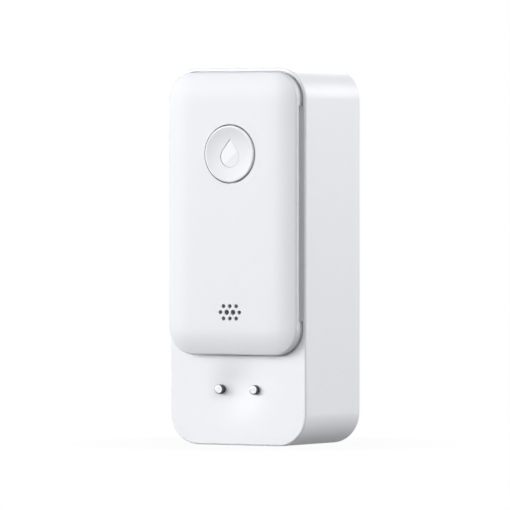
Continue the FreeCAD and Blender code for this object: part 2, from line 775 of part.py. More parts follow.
def battery_contacts():
    """Sheet-metal contacts: a bridge under both cells, and one contact with a long tail over each."""
    plate_y = ("cell_middle - plate_depth", "cell_middle")
    tail_y = ("cell_middle - plate_depth", "dock_board_front")
    outer = "(cell_spread + plate_reach)"
    low = ("contact_bottom", "contact_bottom + strip_thickness")
    high = ("contact_top - strip_thickness", "contact_top")
    leaf = "strip_thickness / 2"

    def leaf_spring(name, side, base, direction, other):
        """Leaf that leans from its plate to the flat end of the cell."""
        near = f"{side}(cell_spread - leaf_reach)"
        far = f"{side}(cell_spread + leaf_reach)"
        lift = f"{direction} (spring_height - leaf_gap)"
        body = new_body(name)
        extrude(body, "leaf", "Y", *tail_y,
                outline((near, f"{base} {other} {leaf}"), (far, f"{base} {lift} {other} {leaf}"),
                        (far, f"{base} {lift}"), (near, f"{base} {direction} leaf_gap")))
        return body

    def tail(name, sign):
        """Arm over the tray's side, tail down beside it and foot on the dock board."""
        def span(near, far):
            return (near, far) if sign == "" else (f"-({far})", f"-({near})")

        inside = "cradle_width / 2 + tail_clearance"
        outside = f"{inside} + strip_thickness"
        bottom = "tray_bottom - tail_drop"
        return [brick(f"{name}_arm", span(f"{outer} - strip_thickness", outside), tail_y, high),
                brick(f"{name}_tail", span(inside, outside), tail_y, (bottom, "contact_top")),
                brick(f"{name}_foot", span(f"{inside} - tail_turn", outside),
                      ("dock_board_front - strip_thickness", "dock_board_front"),
                      (bottom, f"{bottom} + tail_foot"))]

    bridge = fuse("bridge_contact", brick("bridge_plate", (f"-{outer}", outer), plate_y, low),
                  leaf_spring("bridge_leaf", "-", low[1], "+", "-"))
    positive = fuse("positive_contact",
                    brick("positive_plate", (f"-{outer}", "-cell_spread + plate_reach"), plate_y, high),
                    *tail("positive", "-"))
    negative = fuse("negative_contact",
                    brick("negative_plate", ("cell_spread - plate_reach", outer), plate_y, high),
                    leaf_spring("negative_leaf", "", high[0], "-", "+"), *tail("negative", ""))
    for contact in (bridge, positive, negative):
        contact.Label = contact.Name


def dock_board():
    """Board behind the bay that joins cells, probes and socket."""
    body = new_body("dock_board")
    extrude(body, "board", "Y", "dock_board_front", "dock_board_back",
            centred("dock_board_width", "dock_board_bottom", "tray_bottom", "dock_board_corner"))
    extrude(body, "holes", "Y", "dock_board_front", "dock_board_back",
            *circles(board_screw_places, "screw_hole"),
            *circles(contact_places, "contact_pin + contact_clearance"), cut=True)
    return body


def dock_socket():
    """Four-way socket that takes the module's pins, and its contacts."""
    body = new_body("dock_socket")
    extrude(body, "block", "Y", "plug_back + socket_gap", "dock_board_front",
            centred("4 * contact_pitch + 2 * socket_side", "contact_level - socket_height / 2",
                    "contact_level + socket_height / 2", "socket_corner"))
    extrude(body, "bores", "Y", "plug_back + socket_gap", "dock_board_front",
            *circles(contact_places, "contact_pin + 2 * contact_clearance"), cut=True)
    contacts = []
    for index, (x, z) in enumerate(contact_places, start=1):
        cup = rod("cup", x, z, "plug_back + contact_reach + cup_gap", "dock_board_front",
                  "contact_pin + 2 * cup_wall")
        tail = rod("cup_tail", x, z, "dock_board_front", "dock_board_back + cup_tail", "contact_pin")
        contacts.append(fuse(f"socket_contact_{index}", cup, tail))
    group("socket_contacts", contacts)
    return body


def dock_clips():
    """Two sprung leaves in the side walls, whose bumps hold the plug by its side grooves."""
    wall = "inner_width / 2"
    inside = f"{wall} - clip_thickness"
    tip = "plug_width / 2 - clip_bite"
    bottom, top = ("module_middle - clip_width / 2", "module_middle + clip_width / 2")
    body = new_body("dock_clip")
    extrude(body, "leaf", "Z", bottom, top,
            outline((wall, "clip_middle - clip_half - clip_foot"),
                    (wall, "clip_middle + clip_half + clip_foot"),
                    (inside, "clip_middle + clip_half + clip_foot"), (inside, "clip_middle + clip_half"),
                    (tip, "clip_middle + clip_tip"), (tip, "clip_middle - clip_tip"),
                    (inside, "clip_middle - clip_half"),
                    (inside, "clip_middle - clip_half - clip_foot")))
    hollow = "(clip_half - clip_tip)"
    extrude(body, "hollow", "Z", bottom, top,
            outline((f"{wall} + 1", f"clip_middle - {hollow}"), (f"{wall} + 1", f"clip_middle + {hollow}"),
                    (inside, f"clip_middle + {hollow}"), (f"{tip} + clip_thickness", "clip_middle"),
                    (inside, f"clip_middle - {hollow}")), cut=True)
    mirrored_pair(body, "dock_clips")


# Alarm module

def module_cover():
    """Pillowed front shell with button hole, sound holes, grip notches and screw bosses."""
    body = new_body("module_cover")
    pad = extrude(body, "outline", "Y", "cover_front", "cover_back",
                  centred("module_width", "module_bottom", "module_top", "module_corner"))

    # The pillowed rim is one section swept round the outline: a wide arc, then a small rounded edge.
    shoulder = ("(pillow_radius - sqrt((pillow_radius - rim_fillet)^2 - (pillow_reach - rim_fillet)^2))")
    share = "(pillow_radius / (pillow_radius - rim_fillet))"
    turn_out = f"(pillow_reach - {share} * (pillow_reach - rim_fillet))"
    turn_down = f"(pillow_radius - {share} * (pillow_radius - {shoulder}))"
    rim = new_sketch(body, "rim", "X", "module_width / 2 - module_corner")
    outline(("cover_front - 1", "module_top - pillow_reach"), ("cover_front", "module_top - pillow_reach"),
            (f"cover_front + {turn_down}", f"module_top - {turn_out}", "-pillow_radius"),
            (f"cover_front + {shoulder}", "module_top", "-rim_fillet"),
            (f"cover_front + {shoulder}", "module_top + 1"), ("cover_front - 1", "module_top + 1"))(rim)
    volume = volume_of(body)
    pillow = body.newObject("PartDesign::SubtractivePipe", "pillow")
    pillow.Profile = rim
    pillow.Spine = (pad.Profile[0], [""])
    finish_feature(body, pillow, volume, cut=True)

    extrude(body, "hollow", "Y", "ceiling", "cover_back",
            centred("module_width - 2 * cover_wall", "module_bottom + cover_wall", "module_top - cover_wall",
                    "module_corner - cover_wall"), cut=True)
    notch_low = "module_middle + notch_shift - notch_length / 2"
    notch_high = "module_middle + notch_shift + notch_length / 2"
    extrude(body, "grip_notches", "X", "-module_width / 2 - 1", "module_width / 2 + 1",
            outline(("front - notch_rise", notch_low), ("front", notch_low), ("front", notch_high),
                    ("front - notch_rise", notch_high)), cut=True)
    extrude(body, "screw_bosses", "Y", "ceiling", "board_front", *circles(module_screw_places, "module_boss"))
    extrude(body, "screw_pilots", "Y", "ceiling", "board_front",
            *circles(module_screw_places, "screw_pilot"), cut=True)
    extrude(body, "seal_ring", "Y", "ceiling", "ceiling + ring_height",
            circle("0", "button_level", "ring_bore + 2 * ring_wall"),
            circle("0", "button_level", "ring_bore"))
    extrude(body, "button_hole", "Y", "cover_front - 1", "ceiling",
            circle("0", "button_level", "button_diameter + 2 * button_gap"), cut=True)
    holes = []
    for line, count in ((-1, 3), (0, 4), (1, 3)):
        for step in range(count):
            across = step - (count - 1) / 2
            wide = "grille_centre_hole" if abs(across) < 1 and line == 0 else "grille_hole"
            x = f"{across} * grille_pitch" if across else "0"
            holes.append(circle(x, f"grille_level + {line} * grille_row", wide))
    extrude(body, "sound_holes", "Y", "cover_front - 1", "ceiling", *holes, cut=True)
    return body


def module_back_shell():
    """Tub behind the cover: a flange inside the skirt, and the plug that enters the base's bay."""
    body = new_body("module_back_shell")
    inset = "(cover_wall + skirt_clearance)"
    extrude(body, "flange", "Y", "ceiling", "cover_back",
            centred(f"module_width - 2 * {inset}", f"module_bottom + {inset}", f"module_top - {inset}",
                    f"module_corner - {inset}"))
    extrude(body, "plug", "Y", "ceiling", "plug_back",
            centred("plug_width", "plug_bottom", "plug_top", "plug_corner"))
    fillet(body, "plug_edge", "plug_wall / 2", lambda edge: lies_at(edge, "plug_back"))
    extrude(body, "hollow", "Y", "ceiling", "floor_inside",
            centred("plug_width - 2 * plug_wall", "plug_bottom + plug_wall", "plug_top - plug_wall",
                    "plug_inner_corner"), cut=True)
    extrude(body, "seal_groove", "Y", "groove_front", "groove_front + groove_width",
            centred("plug_width + 2", "plug_bottom - 1", "plug_top + 1", "plug_corner + 1"),
            centred("plug_width - 2 * groove_depth", "plug_bottom + groove_depth",
                    "plug_top - groove_depth", "plug_corner - groove_depth"), cut=True)
    mouth = "(clip_half + clip_play)"
    floor = "(clip_tip + clip_play / 2)"
    bottom = "module_middle - clip_width / 2 - clip_play"
    top = "module_middle + clip_width / 2 + clip_play"
    for name, sign in (("left_clip_groove", "-"), ("right_clip_groove", "")):
        outside = f"{sign}(plug_width / 2 + 1)"
        inside = f"{sign}(plug_width / 2 - 2 * clip_bite)"
        extrude(body, name, "Z", bottom, top,
                outline((outside, f"clip_middle - {mouth}"), (inside, f"clip_middle - {floor}"),
                        (inside, f"clip_middle + {floor}"), (outside, f"clip_middle + {mouth}")), cut=True)
    extrude(body, "standoffs", "Y", "board_back", "floor_inside",
            *circles(module_screw_places, "module_boss"))
    extrude(body, "screw_holes", "Y", "board_back", "plug_back",
            *circles(module_screw_places, "screw_hole"), cut=True)
    extrude(body, "head_recesses", "Y", "module_screw_seat", "plug_back",
            *circles(module_screw_places, "head_recess"), cut=True)
    extrude(body, "pin_holes", "Y", "floor_inside", "plug_back",
            *circles(contact_places, "contact_pin + contact_clearance"), cut=True)
    return body


def plug_seal():
    """Silicone band in the plug's groove."""
    body = new_body("plug_seal")
    depth = "(groove_depth - seal_play)"
    extrude(body, "band", "Y", "groove_front + seal_play", "groove_front + groove_width - seal_play",
            centred("plug_width + 2 * seal_squeeze", "plug_bottom - seal_squeeze", "plug_top + seal_squeeze",
                    "plug_corner + seal_squeeze"),
            centred(f"plug_width - 2 * {depth}", f"plug_bottom + {depth}", f"plug_top - {depth}",
                    f"plug_corner - {depth}"))
    return body


def module_board():
    """Main circuit board, clamped between the cover's bosses and the back shell's standoffs."""
    body = new_body("module_board")
    inset = "(plug_wall + board_clearance)"
    extrude(body, "board", "Y", "board_front", "board_back",
            centred(f"plug_width - 2 * {inset}", f"plug_bottom + {inset}", f"plug_top - {inset}",
                    f"plug_corner - {inset}"))
    extrude(body, "holes", "Y", "board_front", "board_back", *circles(module_screw_places, "screw_hole"),
            *circles(contact_places, "contact_pin + contact_clearance"), cut=True)
    return body


def block_on_board(name, width, height, level, start, end, radius="block_corner"):
    """A small moulded block whose long faces are square to Y."""
    body = new_body(name)
    extrude(body, "block", "Y", start, end,
            centred(width, f"{level} - ({height}) / 2", f"{level} + ({height}) / 2", radius))
    return body


def electronics():
    """What the main board carries: switch, light, radio can, controller and plug."""
    switch_front = "board_front - switch_height"
    switch = block_on_board("tact_switch", "switch_width", "switch_width", "switch_level", switch_front,
                            "board_front")
    extrude(switch, "bore", "Y", switch_front, f"{switch_front} + switch_bore_depth",
            circle("0", "switch_level", "plunger_diameter + 2 * plunger_clearance"), cut=True)
    block_on_board("status_light", "led_width", "led_length", "button_level", "board_front - led_height",
                   "board_front")
    block_on_board("radio_shield", "shield_width", "shield_length", "shield_level", "board_back",
                   "board_back + shield_height", "shield_corner")
    block_on_board("controller_chip", "chip_width", "chip_width", "chip_level", "board_back",
                   "board_back + chip_height")
    header = block_on_board("dock_header", "4 * contact_pitch + 2 * header_side", "contact_pitch",
                            "contact_level", "board_back", "floor_inside")
    extrude(header, "bores", "Y", "board_back", "floor_inside",
            *circles(contact_places, "contact_pin + 2 * pin_fit"), cut=True)
    pins = [rod(f"dock_pin_{index}", x, z, "board_front + pin_root", "plug_back + contact_reach",
                "contact_pin")
            for index, (x, z) in enumerate(contact_places, start=1)]
    group("dock_pins", pins)


def switch_plunger():
    body = new_body("switch_plunger")
    extrude(body, "stem", "Y", "plunger_tip",
            "board_front - switch_height + switch_bore_depth - button_travel - plunger_clearance",
            circle("0", "switch_level", "plunger_diameter"))
    return body


def button_cap():
    """Dished round button with a lip behind the cover, a post for the switch and the drop window."""
    body = new_body("button_cap")
    radius = "(button_diameter / 2)"
    rim = f"({radius} - button_edge)"
    dish_curve = f"(({rim}^2 + button_dish^2) / (2 * button_dish))"
    lip_front = "(ceiling + button_seat)"
    lip_back = f"({lip_front} + button_lip_thickness)"
    revolve(body, "cap", "Y", "0", "button_level",
            outline(("ceiling", "0"), ("button_front + button_dish", "0"), ("button_front", rim, dish_curve),
                    ("button_front + button_edge", radius, "-button_edge"), (lip_front, radius),
                    (lip_front, "lip_reach"), (lip_back, "lip_reach"),
                    (lip_back, f"{radius} - button_wall"), ("ceiling", f"{radius} - button_wall")))
    extrude(body, "post", "Y", "ceiling", "post_end", circle("0", "switch_level", "post_diameter"))
    extrude(body, "window", "Y", "button_front - 1", "ceiling", drop("drop_radius", "drop_level"), cut=True)
    return body


def drop_lens():
    """Clear drop-shaped light guide, set a little below the button's dish."""
    body = new_body("drop_lens")
    face = "button_front + button_dish + lens_recess"
    flange_back = "ceiling + lens_flange_thickness"
    extrude(body, "window", "Y", face, "ceiling", drop("drop_radius - lens_clearance", "drop_level"))
    fillet(body, "window_edge", "lens_edge", lambda edge: lies_at(edge, face))
    extrude(body, "flange", "Y", "ceiling", flange_back, drop("drop_radius + lens_flange", "drop_level"))
    extrude(body, "stem", "Y", flange_back, "post_end", circle("0", "button_level", "lens_stem"))
    return body


def button_seal():
    """Silicone skin behind the button, thickened at its rim."""
    body = new_body("button_seal")
    revolve(body, "skin", "Y", "0", "button_level",
            outline(("skin_back", "0"), ("skin_front", "0"), ("skin_front", "seal_bore / 2"),
                    ("ceiling", "seal_bore / 2"), ("ceiling", "seal_ring_diameter / 2"),
                    ("skin_back", "seal_ring_diameter / 2")))
    return body


def button_spacer():
    """Ring between the seal's rim and the board, which also screens the light."""
    body = new_body("button_spacer")
    extrude(body, "ring", "Y", "skin_back", "board_front", circle("0", "button_level", "seal_ring_diameter"),
            circle("0", "button_level", "seal_bore"))
    return body


def sounder():
    """Round sounder behind the grille: case, brass disc, foam gasket and water-tight membrane."""
    bore = "sounder_bore / 2"
    mouth = "gasket_bore / 2"
    base = "board_front - sounder_base"
    case = new_body("sounder_case")
    revolve(case, "case", "Y", "0", "grille_level",
            outline(("board_front", "0"), (base, "0"), (base, bore), ("disc_front", bore),
                    ("disc_front", mouth), ("case_front", mouth), ("case_front", "sounder_diameter / 2"),
                    ("board_front", "sounder_diameter / 2")))
    disc = new_body("sounder_disc")
    extrude(disc, "disc", "Y", "disc_front", "disc_front + disc_thickness",
            circle("0", "grille_level", "sounder_bore - disc_clearance"))
    gasket = new_body("sounder_gasket")
    extrude(gasket, "ring", "Y", "ceiling", "case_front", circle("0", "grille_level", "sounder_diameter"),
            circle("0", "grille_level", "gasket_bore"))
    membrane = new_body("sound_membrane")
    extrude(membrane, "disc", "Y", "ceiling", "ceiling + membrane_thickness",
            circle("0", "grille_level", "gasket_bore - 2 * disc_clearance"))


def fasteners():
    screws("module_screws", module_screw_places, "module_screw_seat", "module_screw_length")
    screws("rear_plate_screws", plate_screw_places, "back - screw_head_height", "plate_screw_length")
    screws("board_screws", board_screw_places, "dock_board_back", "board_screw_length")


base_housing()
rear_plate()
rear_plate_seal()
rear_studs()
probes()
battery_tray()
battery_cell("battery_cell_left", "-", "(contact_bottom + strip_thickness + spring_height)", upward=True)
battery_cell("battery_cell_right", "", "(contact_top - strip_thickness - spring_height)", upward=False)
battery_contacts()
dock_board()
dock_socket()
dock_clips()
module_cover()
module_back_shell()
plug_seal()
module_board()
electronics()
switch_plunger()
button_cap()
drop_lens()
button_seal()
button_spacer()
sounder()
fasteners()
doc.recompute()

nodes = """base_housing rear_plate rear_plate_seal rear_plate_screws rear_contact_studs rear_stud_nuts
    rear_stud_leads probe_pins probe_seals probe_leads battery_tray battery_cell_left battery_cell_right
    bridge_contact positive_contact negative_contact dock_board board_screws dock_socket socket_contacts
    dock_clips module_cover module_back_shell plug_seal module_board module_screws tact_switch status_light
    radio_shield controller_chip dock_header dock_pins switch_plunger button_cap drop_lens button_seal
    button_spacer sounder_case sounder_disc sounder_gasket sound_membrane""".split()

for item in doc.Objects:
    if {"Invalid", "Error"} & set(item.State):
        raise RuntimeError(f"{item.Label} didn't compute: {item.State}")

os.makedirs("parts", exist_ok=True)
for name in nodes:
    shape = doc.getObjectsByLabel(name)[0].Shape
    if shape.isNull() or not shape.isValid():
        raise RuntimeError(f"{name} has no valid shape")
    shape.exportStep(f"parts/{name}.step")
    print(f"{name}: {len(shape.Solids)} solids, {shape.Volume:.1f} mm3")
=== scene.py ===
import bpy
import bmesh
import json
from math import cos, pi, radians, sin, sqrt
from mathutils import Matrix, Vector

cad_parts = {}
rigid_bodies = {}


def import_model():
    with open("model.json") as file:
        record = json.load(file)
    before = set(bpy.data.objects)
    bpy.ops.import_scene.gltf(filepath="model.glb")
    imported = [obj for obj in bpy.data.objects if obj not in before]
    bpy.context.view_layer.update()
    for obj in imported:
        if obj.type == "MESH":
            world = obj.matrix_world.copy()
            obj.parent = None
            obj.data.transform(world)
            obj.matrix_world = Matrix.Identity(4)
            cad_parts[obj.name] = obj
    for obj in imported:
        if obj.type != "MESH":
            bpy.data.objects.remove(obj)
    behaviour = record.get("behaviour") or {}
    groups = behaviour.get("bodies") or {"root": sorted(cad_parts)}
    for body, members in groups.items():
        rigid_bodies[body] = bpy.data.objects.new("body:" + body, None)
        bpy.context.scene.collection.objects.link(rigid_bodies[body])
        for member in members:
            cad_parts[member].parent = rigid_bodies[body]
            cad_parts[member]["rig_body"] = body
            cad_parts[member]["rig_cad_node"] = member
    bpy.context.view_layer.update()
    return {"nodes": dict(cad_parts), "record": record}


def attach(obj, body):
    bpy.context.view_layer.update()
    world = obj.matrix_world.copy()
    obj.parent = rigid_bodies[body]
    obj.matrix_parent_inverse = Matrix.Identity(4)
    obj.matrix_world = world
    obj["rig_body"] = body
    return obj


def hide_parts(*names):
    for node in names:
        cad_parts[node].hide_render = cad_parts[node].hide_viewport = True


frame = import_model()
nodes = frame["nodes"]
mm = 0.001  # sizes and places are in millimetres where no note says otherwise
past = 1.0  # how far a cutter stands out past what it cuts
sunk = 0.1  # how deep an added form stands in the wall that it grows from
tipRadius = 0.05  # where a turned dish closes at its middle
flush = 0.01  # a face this close to the outermost level belongs to the cap there
print("leak detector: frame loaded,", len(nodes), "CAD nodes")


# hands: picking, insetting, turning and cutting

def deselectAll():
    if bpy.context.object and bpy.context.object.mode != "OBJECT":
        bpy.ops.object.mode_set(mode="OBJECT")
    bpy.ops.object.select_all(action="DESELECT")


def activate(piece):
    deselectAll()
    piece.select_set(True)
    bpy.context.view_layer.objects.active = piece


def settle(piece):
    # the place goes into the mesh and the object stays at the origin
    activate(piece)
    bpy.ops.object.transform_apply(location=True, rotation=True, scale=True)
    return piece


def pickFaces(piece, wanted):
    bpy.ops.mesh.select_mode(type="FACE")
    bpy.ops.mesh.select_all(action="DESELECT")
    mesh = bmesh.from_edit_mesh(piece.data)
    for face in mesh.faces:
        if wanted(face):
            face.select_set(True)
    bmesh.update_edit_mesh(piece.data)


def pickEdges(piece, wanted):
    bpy.ops.mesh.select_mode(type="EDGE")
    bpy.ops.mesh.select_all(action="DESELECT")
    mesh = bmesh.from_edit_mesh(piece.data)
    for edge in mesh.edges:
        if wanted(edge):
            edge.select_set(True)
    bmesh.update_edit_mesh(piece.data)


def block(name, centre, size):
    # a block to be cut or to cut with, in millimetres
    bpy.ops.mesh.primitive_cube_add(size=1, location=[place * mm for place in centre],
                                    scale=[side * mm for side in size])
    piece = settle(bpy.context.object)
    piece.name = name
    return piece


def roundedBlock(name, halfWidth, bottom, top, near, far, corner, segments=20):
    # a block whose four edges along Y are rounded
    piece = block(name, (0, (near + far) / 2, (bottom + top) / 2), (2 * halfWidth, far - near, top - bottom))
    bpy.ops.object.mode_set(mode="EDIT")
    pickEdges(piece, lambda edge: abs((edge.verts[0].co - edge.verts[1].co).y) > 0.5 * (far - near) * mm)
    bpy.ops.mesh.bevel(offset=corner * mm, segments=segments, profile=0.5, affect="EDGES")
    bpy.ops.object.mode_set(mode="OBJECT")
    return piece


def pickCap(piece, side):
    # the flat cap at the lowest (-1) or highest (+1) place along Y
    levels = [vertex.co.y for vertex in bmesh.from_edit_mesh(piece.data).verts]
    level = min(levels) if side < 0 else max(levels)
    pickFaces(piece, lambda face: face.normal.y * side > 0.9
              and abs(face.calc_center_median().y - level) < flush * mm)


def insetArc(steps):
    # each step goes inward and outward from the picked cap, in millimetres
    for inward, outward in steps:
        bpy.ops.mesh.inset(thickness=inward * mm, depth=outward * mm, use_even_offset=True)


def quarterSteps(radius, count):
    # a quarter round as steps inward and outward
    turns = [pi / 2 * i / count for i in range(count + 1)]
    places = [(radius * (1 - cos(turn)), radius * sin(turn)) for turn in turns]
    return [(b[0] - a[0], b[1] - a[1]) for a, b in zip(places, places[1:])]


def sinkCap(depth):
    # pushes the picked cap along Y
    bpy.ops.mesh.extrude_region_move(TRANSFORM_OT_translate={"value": (0, depth * mm, 0)})


def turned(name, x, z, profile, sides=96):
    # a solid turned about a line along Y, from (y, radius) stations
    y, radius = profile[0]
    bpy.ops.mesh.primitive_circle_add(vertices=sides, radius=radius * mm, fill_type="NGON",
                                      location=(x * mm, y * mm, z * mm), rotation=(pi / 2, 0, 0))
    piece = settle(bpy.context.object)
    piece.name = name
    bpy.ops.object.mode_set(mode="EDIT")
    bpy.ops.mesh.select_all(action="SELECT")
    for nextY, nextRadius in profile[1:]:
        bpy.ops.mesh.extrude_region_move(TRANSFORM_OT_translate={"value": (0, (nextY - y) * mm, 0)})
        share = nextRadius / radius
        if share != 1:
            bpy.ops.transform.resize(value=(share, 1, share), center_override=(x * mm, nextY * mm, z * mm))
        y, radius = nextY, nextRadius
    bpy.ops.mesh.select_all(action="SELECT")
    bpy.ops.mesh.normals_make_consistent(inside=False)
    bpy.ops.object.mode_set(mode="OBJECT")
    return piece


def rimArc(level, radius, edge, count, side):
    # stations round a turned rim up to its face at this level, which looks towards -Y (-1) or +Y (+1)
    turns = [pi / 2 * i / count for i in range(1, count + 1)]
    return [(level + side * edge * (sin(turn) - 1), radius - edge + edge * cos(turn)) for turn in turns]


def towardsMiddle(radius, count):
    # the radii of a turned dish's stations from this radius inward
    return [radius * (1 - i / count) for i in range(1, count)] + [tipRadius]


def copyOf(piece, name, x=0, y=0, z=0):
    twin = piece.copy()
    twin.data = piece.data.copy()
    twin.name = name
    bpy.context.scene.collection.objects.link(twin)
    twin.location = (x * mm, y * mm, z * mm)
    return settle(twin)


def applyAll(piece):
    activate(piece)
    for modifier in list(piece.modifiers):
        bpy.ops.object.modifier_apply(modifier=modifier.name)


def combine(piece, other, operation="DIFFERENCE"):
    # cuts the other form away or adds it, and uses it up
    step = piece.modifiers.new("combine", "BOOLEAN")
    step.operation = operation
    step.object = other
    step.solver = "EXACT"
    applyAll(piece)
    bpy.data.objects.remove(other)


def joined(name, pieces):
    deselectAll()
    for piece in pieces:
        piece.select_set(True)
    bpy.context.view_layer.objects.active = pieces[0]
    bpy.ops.object.join()
    pieces[0].name = name
    return pieces[0]


def finishPiece(piece, body, slot, replaced, material=None, angle=32):
    # smooth shading with crisp edges, a finish, and a place in the frame
    activate(piece)
    bpy.ops.object.shade_smooth_by_angle(angle=radians(angle))
    weigh = piece.modifiers.new("weigh", "WEIGHTED_NORMAL")
    weigh.mode = "FACE_AREA"
    weigh.weight = 90
    weigh.keep_sharp = True
    applyAll(piece)
    piece.data.materials.clear()
    piece.data.materials.append(material or finishes[slot])
    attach(piece, body)
    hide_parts(*replaced)


# finishes

class Signal:
    # a socket that answers to + - * ** < >
    def __init__(self, finish, socket):
        self.finish, self.socket = finish, socket

    def math(self, operation, first, second):
        return self.finish.node("Math", {"operation": operation}, {0: first, 1: second})

    def __add__(self, other):
        return self.math("ADD", self, other)

    def __sub__(self, other):
        return self.math("SUBTRACT", self, other)

    def __rsub__(self, other):
        return self.math("SUBTRACT", other, self)

    def __mul__(self, other):
        return self.math("MULTIPLY", self, other)

    def __pow__(self, other):
        return self.math("POWER", self, other)

    def __lt__(self, other):
        return self.math("LESS_THAN", self, other)

    def __gt__(self, other):
        return self.math("GREATER_THAN", self, other)

    __radd__ = __add__
    __rmul__ = __mul__


class NodeTree:
    def __init__(self, tree):
        self.tree = tree

    def node(self, kind, settings=None, inputs=None, output=0):
        item = self.tree.nodes.new("ShaderNode" + kind)
        for key, value in (settings or {}).items():
            setattr(item, key, value)
        for key, value in (inputs or {}).items():
            self.feed(item.inputs[key], value)
        return Signal(self, item.outputs[output]) if item.outputs else None

    def feed(self, socket, value):
        if isinstance(value, Signal):
            self.tree.links.new(value.socket, socket)
        else:
            socket.default_value = value

    def seenRays(self):
        # 1 for what the camera sees directly, in a reflection or through a clear piece
        camera, glossy, through = (self.node("LightPath", output=f"Is {ray} Ray")
                                   for ray in ("Camera", "Glossy", "Transmission"))
        mirrored = self.node("Math", {"operation": "MAXIMUM"}, {0: glossy, 1: through})
        return self.node("Math", {"operation": "MAXIMUM"}, {0: camera, 1: mirrored})


class Finish(NodeTree):
    def __init__(self, name):
        self.material = bpy.data.materials.new(name)
        self.material.use_nodes = True
        super().__init__(self.material.node_tree)
        self.surface = self.tree.nodes["Principled BSDF"]
        self.place = self.node("TexCoord", output="Object")

    def set(self, **values):
        for key, value in values.items():
            self.feed(self.surface.inputs[key.replace("_", " ")], value)

    def noise(self, size, detail=2.0):
        # a noise whose blotches are about this many millimetres across
        return self.node("TexNoise", {"noise_dimensions": "3D"},
                         {"Vector": self.place, "Scale": 1 / (size * mm), "Detail": detail})

    def blend(self, amount, first, second):
        # each colour is red, green and blue, or another blend
        pair = [colour if isinstance(colour, Signal) else (*colour, 1) for colour in (first, second)]
        return self.node("Mix", {"data_type": "RGBA"}, {0: amount, 6: pair[0], 7: pair[1]}, output=2)

    def along(self, axis):
        # the place along X (0), Y (1) or Z (2), in metres
        return self.node("SeparateXYZ", {}, {0: self.place}, output=axis)

    def reach(self, level):
        # how far a place is from the line along Y at this height
        height = self.along(2) - level * mm
        return (self.along(0) ** 2 + height ** 2) ** 0.5

    def ramp(self, value, low, high):
        # 0 below low and 1 above high, in millimetres, smooth between them
        return self.node("MapRange", {"interpolation_type": "SMOOTHSTEP"},
                         {"Value": value, "From Min": low * mm, "From Max": high * mm})

    def bump(self, height, depth):
        return self.node("Bump", {}, {"Height": height, "Distance": depth * mm, "Strength": 1.0})


def darker(colour, share):
    return tuple(channel * share for channel in colour)


def mouldedFinish(name, colour, rough, grain=0.012, shaded=None):
    # satin moulded plastic: spark-eroded grain, faint flow marks in tone and gloss
    finish = Finish(name)
    flow = finish.noise(14, 1.5)
    fine = finish.noise(0.22, 3.0)
    tone = finish.blend(flow, darker(colour, 0.985), colour)
    # shaded, when given, paints light and shade over the tone
    finish.set(Base_Color=shaded(finish, tone) if shaded else tone,
               Roughness=rough - 0.03 + flow * 0.03 + fine * 0.04, Normal=finish.bump(fine, grain))
    return finish.material


def siliconeFinish(name, colour, rough):
    # soft skin or foam with a little dust on it
    finish = Finish(name)
    dust = finish.noise(1.2, 3.0)
    finish.set(Base_Color=finish.blend(dust, darker(colour, 0.93), colour),
               Roughness=rough + dust * 0.1, Normal=finish.bump(finish.noise(0.4), 0.01))
    return finish.material


def metalFinish(name, colour, rough, ring):
    # plated or rolled metal, whose turning or rolling marks roughen it by up to ring
    finish = Finish(name)
    smear = finish.noise(1.6, 2.0)
    streak = finish.node("Mapping", {}, {"Vector": finish.place, "Scale": (1, 1, 9)})
    lines = finish.node("TexNoise", {}, {"Vector": streak, "Scale": 900.0, "Detail": 2.0})
    finish.set(Base_Color=finish.blend(smear, darker(colour, 0.92), colour), Metallic=1.0,
               Roughness=rough + smear * 0.06 + lines * ring, Normal=finish.bump(lines, 0.004))
    return finish.material


def boardFinish():
    # green solder resist over copper tracks, with a faint glass weave
    finish = Finish("boardGreen")
    upright = finish.node("Mapping", {}, {"Vector": finish.place, "Rotation": (pi / 2, 0, 0)})
    weave = finish.node("TexBrick", {"offset": 0.5}, {
        "Vector": upright, "Scale": 620.0, "Mortar Size": 0.08,
        "Color1": (0.5, 0.5, 0.5, 1), "Color2": (0.6, 0.6, 0.6, 1), "Mortar": (0.2, 0.2, 0.2, 1)})
    tracks = finish.node("TexVoronoi", {"feature": "DISTANCE_TO_EDGE", "distance": "MANHATTAN"},
                         {"Vector": finish.place, "Scale": 420.0}) < 0.12
    finish.set(Base_Color=finish.blend(tracks, (0.018, 0.115, 0.055), (0.03, 0.19, 0.085)),
               Roughness=0.28 + finish.noise(2.0) * 0.08, Coat_Weight=0.4, Coat_Roughness=0.1,
               Normal=finish.bump(tracks * 0.6 + weave * 0.4, 0.02))
    return finish.material


cell = {"sleeveLow": 39.6, "sleeveHigh": 87.4, "bandLow": 74.0, "bandHigh": 77.0}


def cellFinish():
    # plain sleeve with one pale band near the nub end, bare metal at both ends
    finish = Finish("cellSleeve")
    height = finish.along(2)
    ends = (height < cell["sleeveLow"] * mm) + (height > cell["sleeveHigh"] * mm)
    band = (height > cell["bandLow"] * mm) * (height < cell["bandHigh"] * mm)
    scuff = finish.noise(3.0, 4.0)
    sleeveAndPaintedShade = finish.blend(band, (0.035, 0.045, 0.060), (0.62, 0.63, 0.64))
    finish.set(Base_Color=finish.blend(ends, sleeveAndPaintedShade, (0.66, 0.66, 0.66)), Metallic=ends,
               Roughness=0.26 + scuff * 0.12, Normal=finish.bump(scuff, 0.01))
    return finish.material


def meshFinish():
    # woven sound membrane
    finish = Finish("membrane")
    weave, cross = (finish.node("TexWave", {"wave_type": "BANDS", "bands_direction": axis},
                                {"Vector": finish.place, "Scale": 2600.0}) for axis in ("X", "Z"))
    finish.set(Base_Color=finish.blend(weave * cross, (0.008, 0.008, 0.009), (0.03, 0.03, 0.033)),
               Roughness=0.8, Normal=finish.bump(weave + cross, 0.02))
    return finish.material


